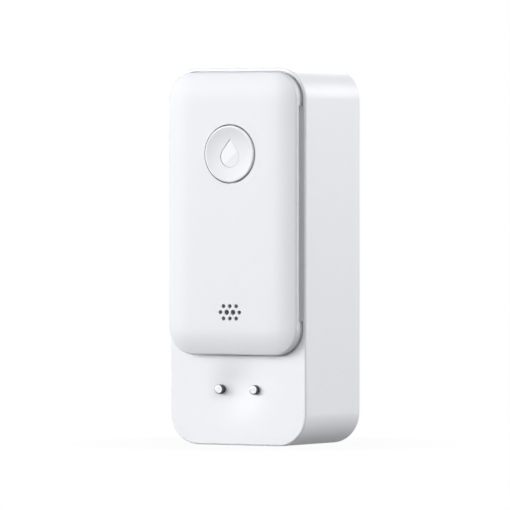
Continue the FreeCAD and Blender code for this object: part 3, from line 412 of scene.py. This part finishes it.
finishes = {
    "shell_white": mouldedFinish("shellWhite", (0.895, 0.911, 0.942), 0.44),
    "inner_plastic": mouldedFinish("innerPlastic", (0.62, 0.63, 0.645), 0.55, grain=0.02),
    "black_plastic": mouldedFinish("blackPlastic", (0.022, 0.022, 0.025), 0.5, grain=0.02),
    "light_body": mouldedFinish("lightBody", (0.80, 0.78, 0.66), 0.3, grain=0.004),
    "silicone": siliconeFinish("silicone", (0.56, 0.57, 0.58), 0.5),
    "foam": siliconeFinish("foam", (0.02, 0.02, 0.02), 0.8),
    "probe_metal": metalFinish("probeMetal", (0.80, 0.80, 0.81), 0.10, ring=0.06),
    "spring_metal": metalFinish("springMetal", (0.66, 0.66, 0.67), 0.24, ring=0.1),
    "screw_steel": metalFinish("screwSteel", (0.55, 0.55, 0.57), 0.28, ring=0.1),
    "shield_metal": metalFinish("shieldMetal", (0.64, 0.64, 0.65), 0.3, ring=0.12),
    "sounder_brass": metalFinish("sounderBrass", (0.72, 0.52, 0.22), 0.22, ring=0.1),
    "contact_gold": metalFinish("contactGold", (0.80, 0.60, 0.26), 0.2, ring=0.05),
    "board_green": boardFinish(),
    "cell_sleeve": cellFinish(),
    "membrane": meshFinish(),
}
print("leak detector:", len(finishes), "common finishes")


# base shell: tub with bay, dish and pin holes

shell = {"halfWidth": 21.0, "height": 100.0, "near": -14.25, "far": 14.25, "corner": 8.5, "edge": 0.5,
         "lip": 1.2, "ledge": 11.95, "wall": 2.2, "innerFront": -12.25}
collar = {"halfWidth": 19.9, "bottom": 24.75, "top": 98.9, "corner": 7.4, "sunk": 0.2, "back": -9.05}
bay = {"halfWidth": 17.0, "bottom": 26.75, "top": 96.0, "corner": 5.3}
dish = {"level": 15.0, "radius": 11.0, "turn": 4.2, "depth": 1.1, "pad": 9.0, "padRise": 0.8,
        "flareSteps": 12, "bowlSteps": 10}
probe = {"x": 5.35, "level": 14.75, "radius": 1.25, "edge": 0.3, "rise": 1.0, "hole": 1.3, "holeEnd": -8.0,
         "boss": 3.0, "bossEnd": -8.75, "flange": 2.5, "flangeNear": -7.95, "flangeBack": -6.95,
         "tail": 1.0, "tailEnd": -5.35, "paintedShadeFrom": 0.015, "paintedShadeTo": 0.08}
cover = {"halfWidth": 19.7, "bottom": 24.05, "top": 98.7, "near": -18.25, "back": -14.85, "ceiling": -16.25,
         "corner": 7.0, "wall": 1.6, "pillow": 18.0, "pillowSteps": 14, "reach": 6.9,
         "fillet": 0.6, "filletSteps": 7,
         "notchLow": 33.075, "notchHigh": 89.875, "notchRise": 1.4, "notchCorner": 0.05}
groove = {"width": 0.38, "depth": 1.0, "zoneHalfWidth": 25, "zoneCorner": 1,
          "pocketNear": 19.3, "pocketFar": 20.08, "pocketTall": 0.6, "pocketDepth": 1.8}


def bothSides(x, *levels):
    # the places at these heights on the left, then on the right
    return [(side * x, level) for side in (-1, 1) for level in levels]


boardBoss = {"places": bothSides(14.0, 12.5), "start": shell["innerFront"], "end": 0.6, "radius": 2.2,
             "pilot": 1.0, "pilotStart": -6.4}
plateBoss = {"places": bothSides(15.4, 5.6, 94.4), "start": -3.4, "end": shell["ledge"], "radius": 2.6,
             "pilot": 1.0, "pilotStart": 3.95}
coverBoss = {"places": bothSides(12.598, 31.152, 91.598), "start": cover["ceiling"], "end": -10.6,
             "radius": 2.05, "pilot": 1.0, "pilotStart": cover["ceiling"]}


def moduleGroove():
    # the dark line round the module's skirt but for the grip notches, with a clip pocket at each end
    wide, start, end = groove["width"], shell["near"] - past, shell["near"] + groove["depth"]
    low, high, corner = cover["bottom"], cover["top"], cover["corner"]
    notchLow, notchHigh = cover["notchLow"], cover["notchHigh"]
    ring = roundedBlock("groove", cover["halfWidth"] + wide, low - wide, high + wide, start, end,
                        corner + wide)
    combine(ring, roundedBlock("skirt", cover["halfWidth"], low, high, start - past, end + past, corner))
    combine(ring, roundedBlock("notchZone", groove["zoneHalfWidth"], notchLow, notchHigh, start - past,
                               end + past, groove["zoneCorner"]))
    middle = (groove["pocketNear"] + groove["pocketFar"]) / 2
    across = groove["pocketFar"] - groove["pocketNear"]
    deep, tall = 2 * (shell["near"] + groove["pocketDepth"] - start), groove["pocketTall"]
    for side in (-1, 1):
        for level in (notchLow - tall / 2, notchHigh + tall / 2):
            combine(ring, block("pocket", (side * middle, start, level), (across, deep, tall)), "UNION")
    return ring


def addBosses(piece, boss):
    # round bosses along Y, each with its screw's pilot hole
    for x, z in boss["places"]:
        stations = [(boss["start"] - sunk, boss["radius"]), (boss["end"], boss["radius"])]
        combine(piece, turned("boss", x, z, stations, sides=64), "UNION")
        stations = [(boss["pilotStart"], boss["pilot"]), (boss["end"] + past, boss["pilot"])]
        combine(piece, turned("pilot", x, z, stations, sides=48))


def dishStations():
    # from outside the front, along the flared rim and down to the middle
    near, radius, turn, depth = shell["near"], dish["radius"], dish["turn"], dish["depth"]
    bowlDepth = depth * turn / radius
    bowl = (turn ** 2 + bowlDepth ** 2) / (2 * bowlDepth)
    flare = ((radius - turn) ** 2 + (depth - bowlDepth) ** 2) / (2 * (depth - bowlDepth))
    stations = [(near - past, radius), (near, radius)]
    for i in range(1, dish["flareSteps"] + 1):
        inward = (radius - turn) * i / dish["flareSteps"]
        stations.append((near + flare - sqrt(flare ** 2 - inward ** 2), radius - inward))
    for r in towardsMiddle(turn, dish["bowlSteps"]):
        stations.append((near + depth - bowl + sqrt(bowl ** 2 - r ** 2), r))
    return stations


def makeBaseShell():
    edge, near, inner = shell["edge"], shell["near"], shell["innerFront"]
    piece = roundedBlock("baseShell", shell["halfWidth"], 0, shell["height"], near + edge,
                         shell["far"] - edge, shell["corner"], segments=28)
    bpy.ops.object.mode_set(mode="EDIT")
    pickCap(piece, -1)
    insetArc(quarterSteps(edge, 5))
    pickCap(piece, 1)
    insetArc(quarterSteps(edge, 5))
    insetArc([(shell["lip"] - edge, 0)])
    sinkCap(shell["ledge"] - shell["far"])
    insetArc([(shell["wall"] - shell["lip"], 0)])
    sinkCap(inner - shell["ledge"])
    bpy.ops.object.mode_set(mode="OBJECT")
    combine(piece, roundedBlock("collar", collar["halfWidth"], collar["bottom"], collar["top"],
                                inner - collar["sunk"], collar["back"], collar["corner"]), "UNION")
    combine(piece, roundedBlock("bayCut", bay["halfWidth"], bay["bottom"], bay["top"], near - past,
                                collar["back"] + past, bay["corner"]))
    combine(piece, moduleGroove())
    stations = [(inner - sunk, dish["pad"]), (inner + dish["padRise"], dish["pad"])]
    combine(piece, turned("dishPad", 0, dish["level"], stations), "UNION")
    stations = [(inner - sunk, probe["boss"]), (probe["bossEnd"], probe["boss"])]
    for x, z in bothSides(probe["x"], probe["level"]):
        combine(piece, turned("pinBoss", x, z, stations, sides=64), "UNION")
    addBosses(piece, boardBoss)
    addBosses(piece, plateBoss)
    combine(piece, turned("dishCut", 0, dish["level"], dishStations(), sides=128))
    stations = [(near - past, probe["hole"]), (probe["holeEnd"], probe["hole"])]
    for x, z in bothSides(probe["x"], probe["level"]):
        combine(piece, turned("pinCut", x, z, stations, sides=64))
    finishPiece(piece, "base", "shell_white", ["base_housing"])


makeBaseShell()
print("leak detector: base shell")


# module cover: pillowed face, skirt, button hole, sound holes, grip notches

grille = {"level": 35.3, "pitch": 1.94, "row": 1.63, "hole": 0.525, "centre": 0.675, "chamfer": 0.07,
          "lead": 0.2, "field": 4.6, "shadeFrom": 0.05, "shadeTo": 0.25}
button = {"level": 77.16, "radius": 7.5, "near": -18.75, "dish": 0.55, "dishSteps": 18, "edge": 0.38,
          "wall": 6.5, "lip": 8.5, "lipNear": -16.2, "back": -15.5, "paintedLightFrom": 7.05, "paintedLightTo": 7.25,
          "postLevel": 71.96, "post": 1.1, "postStart": -16.4, "postEnd": -15.0,
          "hole": 7.85, "holeEdge": 0.04, "holeLead": 0.2, "shadeReach": 0.02, "shadeFrom": 0.01,
          "shadeTo": 0.09}
sealRing = {"bore": 10.28, "wall": 1.0, "rise": 1.4}


def coverPaintedShade(finish, plain):
    # painted shade darkens the walls of the cover's holes, starting a little behind its face
    depth, face = finish.along(1), cover["near"]
    inGrille = finish.reach(grille["level"]) < grille["field"] * mm
    inButton = finish.reach(button["level"]) < (button["hole"] + button["shadeReach"]) * mm
    grilleWallShade = inGrille * finish.ramp(depth, face + grille["shadeFrom"], face + grille["shadeTo"])
    buttonWallShade = inButton * finish.ramp(depth, face + button["shadeFrom"], face + button["shadeTo"])
    return finish.blend(grilleWallShade + buttonWallShade, plain, (0.50, 0.505, 0.52))


def pillowSteps():
    # the small rounded edge first, then the wide arc, as insets of the front cap
    wide, reach, small = cover["pillow"], cover["reach"], cover["fillet"]
    shoulder = wide - sqrt((wide - small) ** 2 - (reach - small) ** 2)
    turnOut = reach - wide / (wide - small) * (reach - small)
    edgeSteps, arcSteps = cover["filletSteps"], cover["pillowSteps"]
    places = []
    for i in range(edgeSteps + 1):
        inward = turnOut * (1 - cos(pi / 2 * i / edgeSteps))
        places.append((inward, shoulder - sqrt(max(small ** 2 - (small - inward) ** 2, 0))))
    for i in range(1, arcSteps + 1):
        inward = turnOut + (reach - turnOut) * i / arcSteps
        places.append((inward, wide - sqrt(wide ** 2 - (reach - inward) ** 2)))
    return shoulder, [(b[0] - a[0], a[1] - b[1]) for a, b in zip(places, places[1:])]


def soundHole(x, z, radius):
    near, edge, lead = cover["near"], grille["chamfer"], grille["lead"]
    return turned("soundCut", x, z, [(near - lead, radius + edge + lead), (near + edge, radius),
                                     (cover["ceiling"] + past, radius)], sides=40)


def makeModuleCover():
    shoulder, steps = pillowSteps()
    near, ceiling = cover["near"], cover["ceiling"]
    piece = roundedBlock("moduleCover", cover["halfWidth"], cover["bottom"], cover["top"], near + shoulder,
                         cover["back"], cover["corner"], segments=24)
    bpy.ops.object.mode_set(mode="EDIT")
    pickCap(piece, -1)
    insetArc(steps)
    pickCap(piece, 1)
    insetArc([(cover["wall"], 0)])
    sinkCap(ceiling - cover["back"])
    bpy.ops.object.mode_set(mode="OBJECT")
    low, high, sill = cover["notchLow"], cover["notchHigh"], shell["near"]
    combine(piece, roundedBlock("notchCut", cover["halfWidth"] + past, low, high, sill - cover["notchRise"],
                                sill + past, cover["notchCorner"], segments=2))
    wide, edge, lead = button["hole"], button["holeEdge"], button["holeLead"]
    stations = [(near - lead, wide + edge + lead), (near, wide + edge), (near + edge, wide),
                (ceiling + past, wide)]
    combine(piece, turned("buttonCut", 0, button["level"], stations, sides=128))
    for line, count in ((-1, 3), (0, 4), (1, 3)):
        level = grille["level"] + line * grille["row"]
        for step in range(count):
            across = step - (count - 1) / 2
            radius = grille["centre"] if line == 0 and abs(across) < 1 else grille["hole"]
            combine(piece, soundHole(across * grille["pitch"], level, radius))
    bore, outer, back = sealRing["bore"], sealRing["bore"] + sealRing["wall"], ceiling + sealRing["rise"]
    ring = turned("sealRing", 0, button["level"], [(ceiling - sunk, outer), (back, outer)], sides=144)
    stations = [(ceiling - past, bore), (back + past, bore)]
    combine(ring, turned("ringBore", 0, button["level"], stations, sides=144))
    combine(piece, ring, "UNION")
    addBosses(piece, coverBoss)
    # the cover's white carries painted shade on the walls of its holes
    white = mouldedFinish("coverWhite", (0.827, 0.843, 0.873), 0.44, shaded=coverPaintedShade)
    finishPiece(piece, "alarm_module", "shell_white", ["module_cover"], white)


makeModuleCover()
print("leak detector: module cover")


# button with its drop window

drop = {"level": 76.46, "radius": 2.9, "tip": 4.6, "sides": 92, "margin": 0.005, "play": 0.05,
        "face": -18.05, "rim": [(0.06, 0.05), (0.1, 0.03)], "flange": 0.3, "flangeThick": 0.6,
        "guide": 2.0, "guideEnd": -15.0, "pegEdge": 0.05, "slant": 0.925, "slantLow": 75.75,
        "slantHigh": 76.05, "wallField": 5.5, "wallFrom": -18.19, "wallTo": -18.12}


def buttonPaintedLight(finish, plain):
    # painted shade darkens the window's cut, and a painted highlight makes the rounded rim lighter than the
    # dish
    reach = finish.reach(button["level"])
    depth = finish.ramp(finish.along(1), drop["wallFrom"], drop["wallTo"])
    dished = finish.blend((reach < drop["wallField"] * mm) * depth, plain, (0.30, 0.305, 0.315))
    # painted highlight on the rounded rim
    rim = finish.ramp(reach, button["paintedLightFrom"], button["paintedLightTo"])
    return finish.blend(rim, dished, (0.94, 0.95, 0.97))


def lensFinish():
    # pale glossy window whose painted reflection makes it darker below a slanting line
    finish = Finish("lensClear")
    cloud = finish.noise(2.5, 2.0)
    rising = finish.along(2) - finish.along(0) * drop["slant"]
    # painted reflection: darker below the slanting line
    below = 1 - finish.ramp(rising, drop["slantLow"], drop["slantHigh"])
    pale = finish.blend(cloud, (0.78, 0.79, 0.81), (0.80, 0.81, 0.83))
    finish.set(Base_Color=finish.blend(below, pale, (0.715, 0.725, 0.745)), Roughness=0.30 + cloud * 0.06,
               IOR=1.49, Coat_Weight=0.3, Coat_Roughness=0.12, Normal=finish.bump(cloud, 0.004))
    return finish.material


# the button's white carries painted shade in its window's cut and a painted highlight on its rim
finishes["button_white"] = mouldedFinish("buttonWhite", (0.775, 0.790, 0.818), 0.38, grain=0.006,
                                         shaded=buttonPaintedLight)
finishes["lens_clear"] = lensFinish()


def dropBlock(name, radius, near, far):
    # a round whose top points are gathered into a tip, then pushed along Y
    bpy.ops.mesh.primitive_circle_add(vertices=drop["sides"], radius=radius * mm, fill_type="NGON",
                                      location=(0, near * mm, drop["level"] * mm), rotation=(pi / 2, 0, 0))
    piece = settle(bpy.context.object)
    piece.name = name
    bpy.ops.object.mode_set(mode="EDIT")
    bpy.ops.mesh.select_mode(type="VERT")
    bpy.ops.mesh.select_all(action="DESELECT")
    # the tip's straight sides touch the round at this height
    touch = (drop["level"] + radius * drop["radius"] / drop["tip"] + drop["margin"]) * mm
    mesh = bmesh.from_edit_mesh(piece.data)
    for vertex in mesh.verts:
        vertex.select_set(vertex.co.z > touch)
    mesh.select_flush_mode()
    bmesh.update_edit_mesh(piece.data)
    bpy.ops.mesh.merge(type="CENTER")
    mesh = bmesh.from_edit_mesh(piece.data)
    tip = max(mesh.verts, key=lambda vertex: vertex.co.z)
    rise = (drop["level"] + radius * drop["tip"] / drop["radius"]) * mm - tip.co.z
    bpy.ops.transform.translate(value=(-tip.co.x, 0, rise))
    bpy.ops.mesh.select_all(action="SELECT")
    bpy.ops.mesh.extrude_region_move(TRANSFORM_OT_translate={"value": (0, (far - near) * mm, 0)})
    bpy.ops.mesh.select_all(action="SELECT")
    bpy.ops.mesh.normals_make_consistent(inside=False)
    bpy.ops.object.mode_set(mode="OBJECT")
    return piece


def buttonStations():
    # from the open back over the lip and the rounded rim to the middle of the dish
    radius, edge, near, depth = button["radius"], button["edge"], button["near"], button["dish"]
    wall, lip, back, lipNear = button["wall"], button["lip"], button["back"], button["lipNear"]
    rim = radius - edge
    stations = [(cover["ceiling"], wall), (back, wall), (back, lip), (lipNear, lip), (lipNear, radius)]
    stations += [(near + edge, radius)] + rimArc(near, radius, edge, 5, -1)
    for r in towardsMiddle(rim, button["dishSteps"]):
        stations.append((near + depth * (1 - (r / rim) ** 3), r))
    return stations


def peg(name, level, start, end, radius, sides):
    # a round peg at the button's back, its far edge broken
    edge = drop["pegEdge"]
    return turned(name, 0, level, [(start, radius), (end - edge, radius), (end, radius - edge)], sides)


def makeButton():
    ceiling = cover["ceiling"]
    piece = turned("alarmButton", 0, button["level"], buttonStations(), sides=144)
    combine(piece, dropBlock("windowCut", drop["radius"], button["near"] - past, ceiling + past))
    start, end = button["postStart"], button["postEnd"]
    post = peg("switchPost", button["postLevel"], start, end, button["post"], sides=48)
    finishPiece(joined("alarmButton", [piece, post]), "button", "button_white", ["button_cap"])
    window = dropBlock("dropWindow", drop["radius"] - drop["play"], drop["face"], ceiling)
    bpy.ops.object.mode_set(mode="EDIT")
    pickCap(window, -1)
    insetArc(drop["rim"])
    bpy.ops.object.mode_set(mode="OBJECT")
    guide = peg("guideStem", button["level"], ceiling, drop["guideEnd"], drop["guide"], sides=64)
    flange = dropBlock("guideFlange", drop["radius"] + drop["flange"], ceiling,
                       ceiling + drop["flangeThick"])
    window = joined("dropWindow", [window, flange, guide])
    finishPiece(window, "button", "lens_clear", ["drop_lens"], angle=40)


makeButton()
print("leak detector: button and drop window")


# probe pins, rear plate, rear studs and screws

def pinFinish(near):
    # bright plated tip, with painted shade on the pin's side and the tip's rounded rim for the dark
    # reflections and shadow there
    finish = Finish("pinMetal")
    smear = finish.noise(0.9, 2.0)
    # painted shade: dark and not metallic from just behind the tip face
    sleeveAndPaintedShade = finish.ramp(finish.along(1), near + probe["paintedShadeFrom"], near + probe["paintedShadeTo"])
    tip = finish.blend(smear, (0.30, 0.30, 0.305), (0.41, 0.41, 0.415))
    finish.set(Base_Color=finish.blend(sleeveAndPaintedShade, tip, (0.045, 0.045, 0.05)), Metallic=1 - sleeveAndPaintedShade,
               Roughness=0.14 + smear * 0.08 + sleeveAndPaintedShade * 0.12, Normal=finish.bump(smear, 0.004))
    return finish.material


def makeProbePins():
    near, radius, edge = shell["near"] - probe["rise"], probe["radius"], probe["edge"]
    back, front = probe["flangeBack"], probe["flangeNear"]
    stations = [(probe["tailEnd"], probe["tail"]), (back, probe["tail"]), (back, probe["flange"]),
                (front, probe["flange"]), (front, radius), (near + edge, radius)]
    stations += rimArc(near, radius, edge, 7, -1)
    left = turned("probePins", -probe["x"], probe["level"], stations, sides=72)
    right = copyOf(left, "probePin", x=2 * probe["x"])
    # the pins' finish has painted shade on their sides
    finishPiece(joined("probePins", [left, right]), "base", "probe_metal", ["probe_pins"], pinFinish(near))


rear = {"halfWidth": 19.7, "bottom": 1.3, "top": 98.7, "near": 12.45, "far": 14.25, "corner": 7.2,
        "edge": 0.5, "screwHole": 1.15, "sink": 2.0, "sinkDepth": 1.2, "sinkEdge": 0.1, "lead": 0.5,
        "studX": 8.5, "studLevel": 16.0, "studHole": 1.3, "studRadius": 1.25, "studStart": 9.45,
        "footLevel": 86.0, "footRadius": 3.0, "footRise": 0.9, "footSunk": 0.5}


def domeStations(start, radius, rise):
    # a low round foot whose rim is rounded over half its height
    return [(start, radius), (start + rise / 2, radius)] + rimArc(start + rise, radius, rise / 2, 6, 1)


def makeRearPlate():
    near, far, lead = rear["near"], rear["far"], rear["lead"]
    piece = roundedBlock("rearPlate", rear["halfWidth"], rear["bottom"], rear["top"], near,
                         far - rear["edge"], rear["corner"])
    bpy.ops.object.mode_set(mode="EDIT")
    pickCap(piece, 1)
    insetArc(quarterSteps(rear["edge"], 5))
    bpy.ops.object.mode_set(mode="OBJECT")
    sink, edge, floor = rear["sink"], rear["sinkEdge"], far - rear["sinkDepth"]
    screwStations = [(far + lead, sink + edge + lead), (far, sink + edge), (far - edge, sink), (floor, sink),
                     (floor, rear["screwHole"]), (near - lead, rear["screwHole"])]
    studStations = [(far + lead, rear["studHole"]), (near - lead, rear["studHole"])]
    footSunk = rear["footSunk"]
    footStations = domeStations(far - footSunk, rear["footRadius"], rear["footRise"] + footSunk)
    for x, z in plateBoss["places"]:
        combine(piece, turned("screwCut", x, z, screwStations, sides=56))
    for x, z in bothSides(rear["studX"], rear["studLevel"]):
        combine(piece, turned("studCut", x, z, studStations, sides=48))
    for x, z in bothSides(rear["studX"], rear["footLevel"]):
        combine(piece, turned("foot", x, z, footStations, sides=72), "UNION")
    finishPiece(piece, "base", "shell_white", ["rear_plate"])


def makeRearStuds():
    far, foot = rear["far"], rear["footRadius"]
    stations = [(rear["studStart"], rear["studRadius"]), (far, rear["studRadius"]), (far, foot)]
    stations += domeStations(far, foot, rear["footRise"])[1:]
    left = turned("rearStuds", -rear["studX"], rear["studLevel"], stations, sides=72)
    right = copyOf(left, "rearStud", x=2 * rear["studX"])
    finishPiece(joined("rearStuds", [left, right]), "base", "probe_metal", ["rear_contact_studs"])


screw = {"head": 1.8, "height": 1.2, "dome": [(0.45, 1), (0.72, 0.95), (0.9, 0.82), (1, 0.6)],
         "shank": 0.95, "root": 0.72, "pitch": 0.7, "point": 0.3, "pointLong": 0.5, "neck": 0.75,
         "neckLong": 0.3, "cross": 0.42, "crossReach": 1.05, "crossDepth": 0.7, "crossPast": 0.2,
         "crossTaper": 0.55}


def makeScrew(length):
    # pan head with a cross recess and a ridged shank, its seat at Y = 0
    head, height = screw["head"], screw["height"]
    ridged, pitches = length - screw["pointLong"] - screw["neckLong"], int(length / screw["pitch"])
    stations = [(-length, screw["point"])]
    for i in range(pitches):
        start = -length + screw["pointLong"] + ridged * i / pitches
        stations += [(start, screw["root"]), (start + ridged / pitches / 2, screw["shank"])]
    stations += [(-screw["neckLong"], screw["neck"]), (0, screw["neck"]), (0, head)]
    stations += [(height * rise, head * share) for rise, share in screw["dome"]]
    piece = turned("screw", 0, 0, stations, sides=32)
    deep, proud, taper = screw["crossDepth"], screw["crossPast"], screw["crossTaper"]
    reach, thin = 2 * screw["crossReach"], screw["cross"]
    for wide, tall in ((reach, thin), (thin, reach)):
        arm = block("crossArm", (0, height - deep / 2 + proud / 2, 0), (wide, deep + proud, tall))
        bpy.ops.object.mode_set(mode="EDIT")
        pickCap(arm, -1)
        bpy.ops.transform.resize(value=(taper, 1, taper), center_override=(0, 0, 0))
        bpy.ops.object.mode_set(mode="OBJECT")
        combine(piece, arm)
    return piece


def makeScrewSet(name, node, body, length, seat, places):
    pattern = makeScrew(length)
    copies = [copyOf(pattern, f"{name}{i}", x, seat, z) for i, (x, z) in enumerate(places)]
    bpy.data.objects.remove(pattern)
    finishPiece(joined(name, copies), body, "screw_steel", [node])


screwSets = {
    # each set: its CAD node, its body, its screws' length, their seat along Y and their places
    "plateScrews": ("rear_plate_screws", "base", 7.0, rear["far"] - rear["sinkDepth"], plateBoss["places"]),
    "boardScrews": ("board_screws", "base", 6.0, 1.6, boardBoss["places"]),
    "moduleScrews": ("module_screws", "alarm_module", 8.0, -5.4, coverBoss["places"]),
}
makeProbePins()
makeRearPlate()
makeRearStuds()
for name, setting in screwSets.items():
    makeScrewSet(name, *setting)
print("leak detector: pins, rear plate, studs and screws")


# inner pieces: curved ones are smoothed copies, flat ones keep their nodes

smoothed = {
    "cellLeft": "battery_cell_left", "cellRight": "battery_cell_right", "cellTray": "battery_tray",
    "moduleTub": "module_back_shell", "tubSeal": "plug_seal", "pinSeals": "probe_seals",
    "socketCups": "socket_contacts", "dockPins": "dock_pins", "buttonSkin": "button_seal",
    "buttonRing": "button_spacer", "sounderCase": "sounder_case", "sounderDisc": "sounder_disc",
    "soundGasket": "sounder_gasket", "soundMembrane": "sound_membrane", "switchStem": "switch_plunger",
    "plateSeal": "rear_plate_seal", "mainBoard": "module_board", "dockBoard": "dock_board",
    "studNuts": "rear_stud_nuts",
}
seam = 0.0005  # points closer than this, in millimetres, are one point
slotOf = {part["node"]: part["material_slot"] for part in frame["record"]["subparts"]}
bodyOf = {node: body for body, members in frame["record"]["behaviour"]["bodies"].items() for node in members}


def smoothCopy(name, node):
    piece = nodes[node].copy()
    piece.data = nodes[node].data.copy()
    piece.name = name
    piece.parent = None
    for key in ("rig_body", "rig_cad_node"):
        if key in piece:
            del piece[key]
    bpy.context.scene.collection.objects.link(piece)
    activate(piece)
    bpy.ops.object.mode_set(mode="EDIT")
    bpy.ops.mesh.select_all(action="SELECT")
    bpy.ops.mesh.remove_doubles(threshold=seam * mm)
    bpy.ops.object.mode_set(mode="OBJECT")
    finishPiece(piece, bodyOf[node], slotOf[node], [node])


for name, node in smoothed.items():
    smoothCopy(name, node)
for node, item in nodes.items():
    item.data.materials.clear()
    item.data.materials.append(finishes[slotOf[node]])
print("leak detector: inner pieces")


# floor, light and camera

floorLook = {"size": 12, "shadowTo": 24, "whiteFrom": 64, "white": 0.96}  # its size is in metres


def makeFloor():
    # seen as white, with the detector's faint shadow close round its foot
    bpy.ops.mesh.primitive_plane_add(size=floorLook["size"], location=(0, 0, 0))
    floor = bpy.context.object
    floor.name = "floor"
    finish = Finish("floorPale")
    distance = finish.node("VectorMath", {"operation": "LENGTH"}, {0: finish.place}, output="Value")
    away = finish.ramp(distance, floorLook["shadowTo"], floorLook["whiteFrom"])
    finish.set(Base_Color=finish.blend(finish.noise(40), (0.21, 0.21, 0.215), (0.24, 0.24, 0.245)),
               Roughness=0.9, Specular_IOR_Level=0.0)
    white = finish.node("Emission", {}, {"Color": (1, 1, 1, 1), "Strength": 1.0})
    share = finish.seenRays() * (away * (1 - floorLook["white"]) + floorLook["white"])
    mix = finish.node("MixShader", {}, {0: share, 1: Signal(finish, finish.surface.outputs[0]), 2: white})
    finish.feed(finish.tree.nodes["Material Output"].inputs["Surface"], mix)
    floor.data.materials.append(finish.material)


lamps = {
    # each lamp: its turn from the front towards +X and its height angle, in degrees, then its size
    # in metres and its power in watts
    "wide": (-40, 8, 1.6, 23.7), "side": (-58, 8, 0.8, 4.8), "front": (-22, 8, 0.8, 3.3),
    "right": (30, 15, 0.6, 2.4), "graze": (70, 30, 0.6, 3.6), "crown": (60, 55, 1.0, 1.9),
    "top": (100, 50, 1.4, 3.0), "fill": (120, 20, 1.2, 6.1), "edge": (150, 15, 0.7, 7.2),
    "rear": (205, 25, 0.7, 6.0),
}
studio = {"distance": 1.5, "level": 0.05}  # in metres: how far the lamps stand from a point this high


def makeLamp(name, turn, height, size, power):
    data = bpy.data.lights.new(name, "AREA")
    data.shape = "DISK"
    data.size = size
    data.energy = power
    lamp = bpy.data.objects.new(name, data)
    bpy.context.scene.collection.objects.link(lamp)
    turn, height = radians(turn), radians(height)
    away = Vector((sin(turn) * cos(height), -cos(turn) * cos(height), sin(height)))
    lamp.location = Vector((0, 0, studio["level"])) + away * studio["distance"]
    lamp.rotation_euler = away.to_track_quat("Z", "Y").to_euler()
    lamp.visible_camera = False


def makeWorld():
    # white where it is seen, and no light on the detector
    world = bpy.data.worlds.new("studio")
    bpy.context.scene.world = world
    world.use_nodes = True
    world.node_tree.nodes.clear()
    tree = NodeTree(world.node_tree)
    unlit = tree.node("Background", {}, {"Strength": 0.0})
    white = tree.node("Background", {}, {"Color": (1, 1, 1, 1), "Strength": 1.0})
    sky = tree.node("MixShader", {}, {0: tree.seenRays(), 1: unlit, 2: white})
    tree.node("OutputWorld", {}, {"Surface": sky})


# turn in degrees, distance and level in metres, sensor in millimetres, the rest in the photo's pixels
shot = {"turn": 31.0, "distance": 1.782, "level": 0.0766, "focal": 6684.77, "shiftX": 10.31,
        "shiftY": -98.94, "frame": 510, "sensor": 36}


def makeCamera():
    # the lens and the line of sight that the photograph was taken with
    turn = radians(shot["turn"])
    forward = Vector((-sin(turn), cos(turn), 0))
    right = Vector((cos(turn), sin(turn), 0))
    aim = forward - right * (shot["shiftX"] / shot["focal"]) + Vector((0, 0, shot["shiftY"] / shot["focal"]))
    data = bpy.data.cameras.new("camera")
    data.sensor_width = shot["sensor"]
    data.lens = shot["focal"] / shot["frame"] * shot["sensor"]
    data.clip_start = 0.05
    data.clip_end = 50
    camera = bpy.data.objects.new("camera", data)
    bpy.context.scene.collection.objects.link(camera)
    camera.location = (sin(turn) * shot["distance"], -cos(turn) * shot["distance"], shot["level"])
    camera.rotation_euler = aim.to_track_quat("-Z", "Y").to_euler()
    bpy.context.scene.camera = camera


makeFloor()
for name, setting in lamps.items():
    makeLamp(name + "Lamp", *setting)
makeWorld()
makeCamera()
bpy.context.scene.view_settings.view_transform = "Standard"
print("leak detector: floor, light and camera")
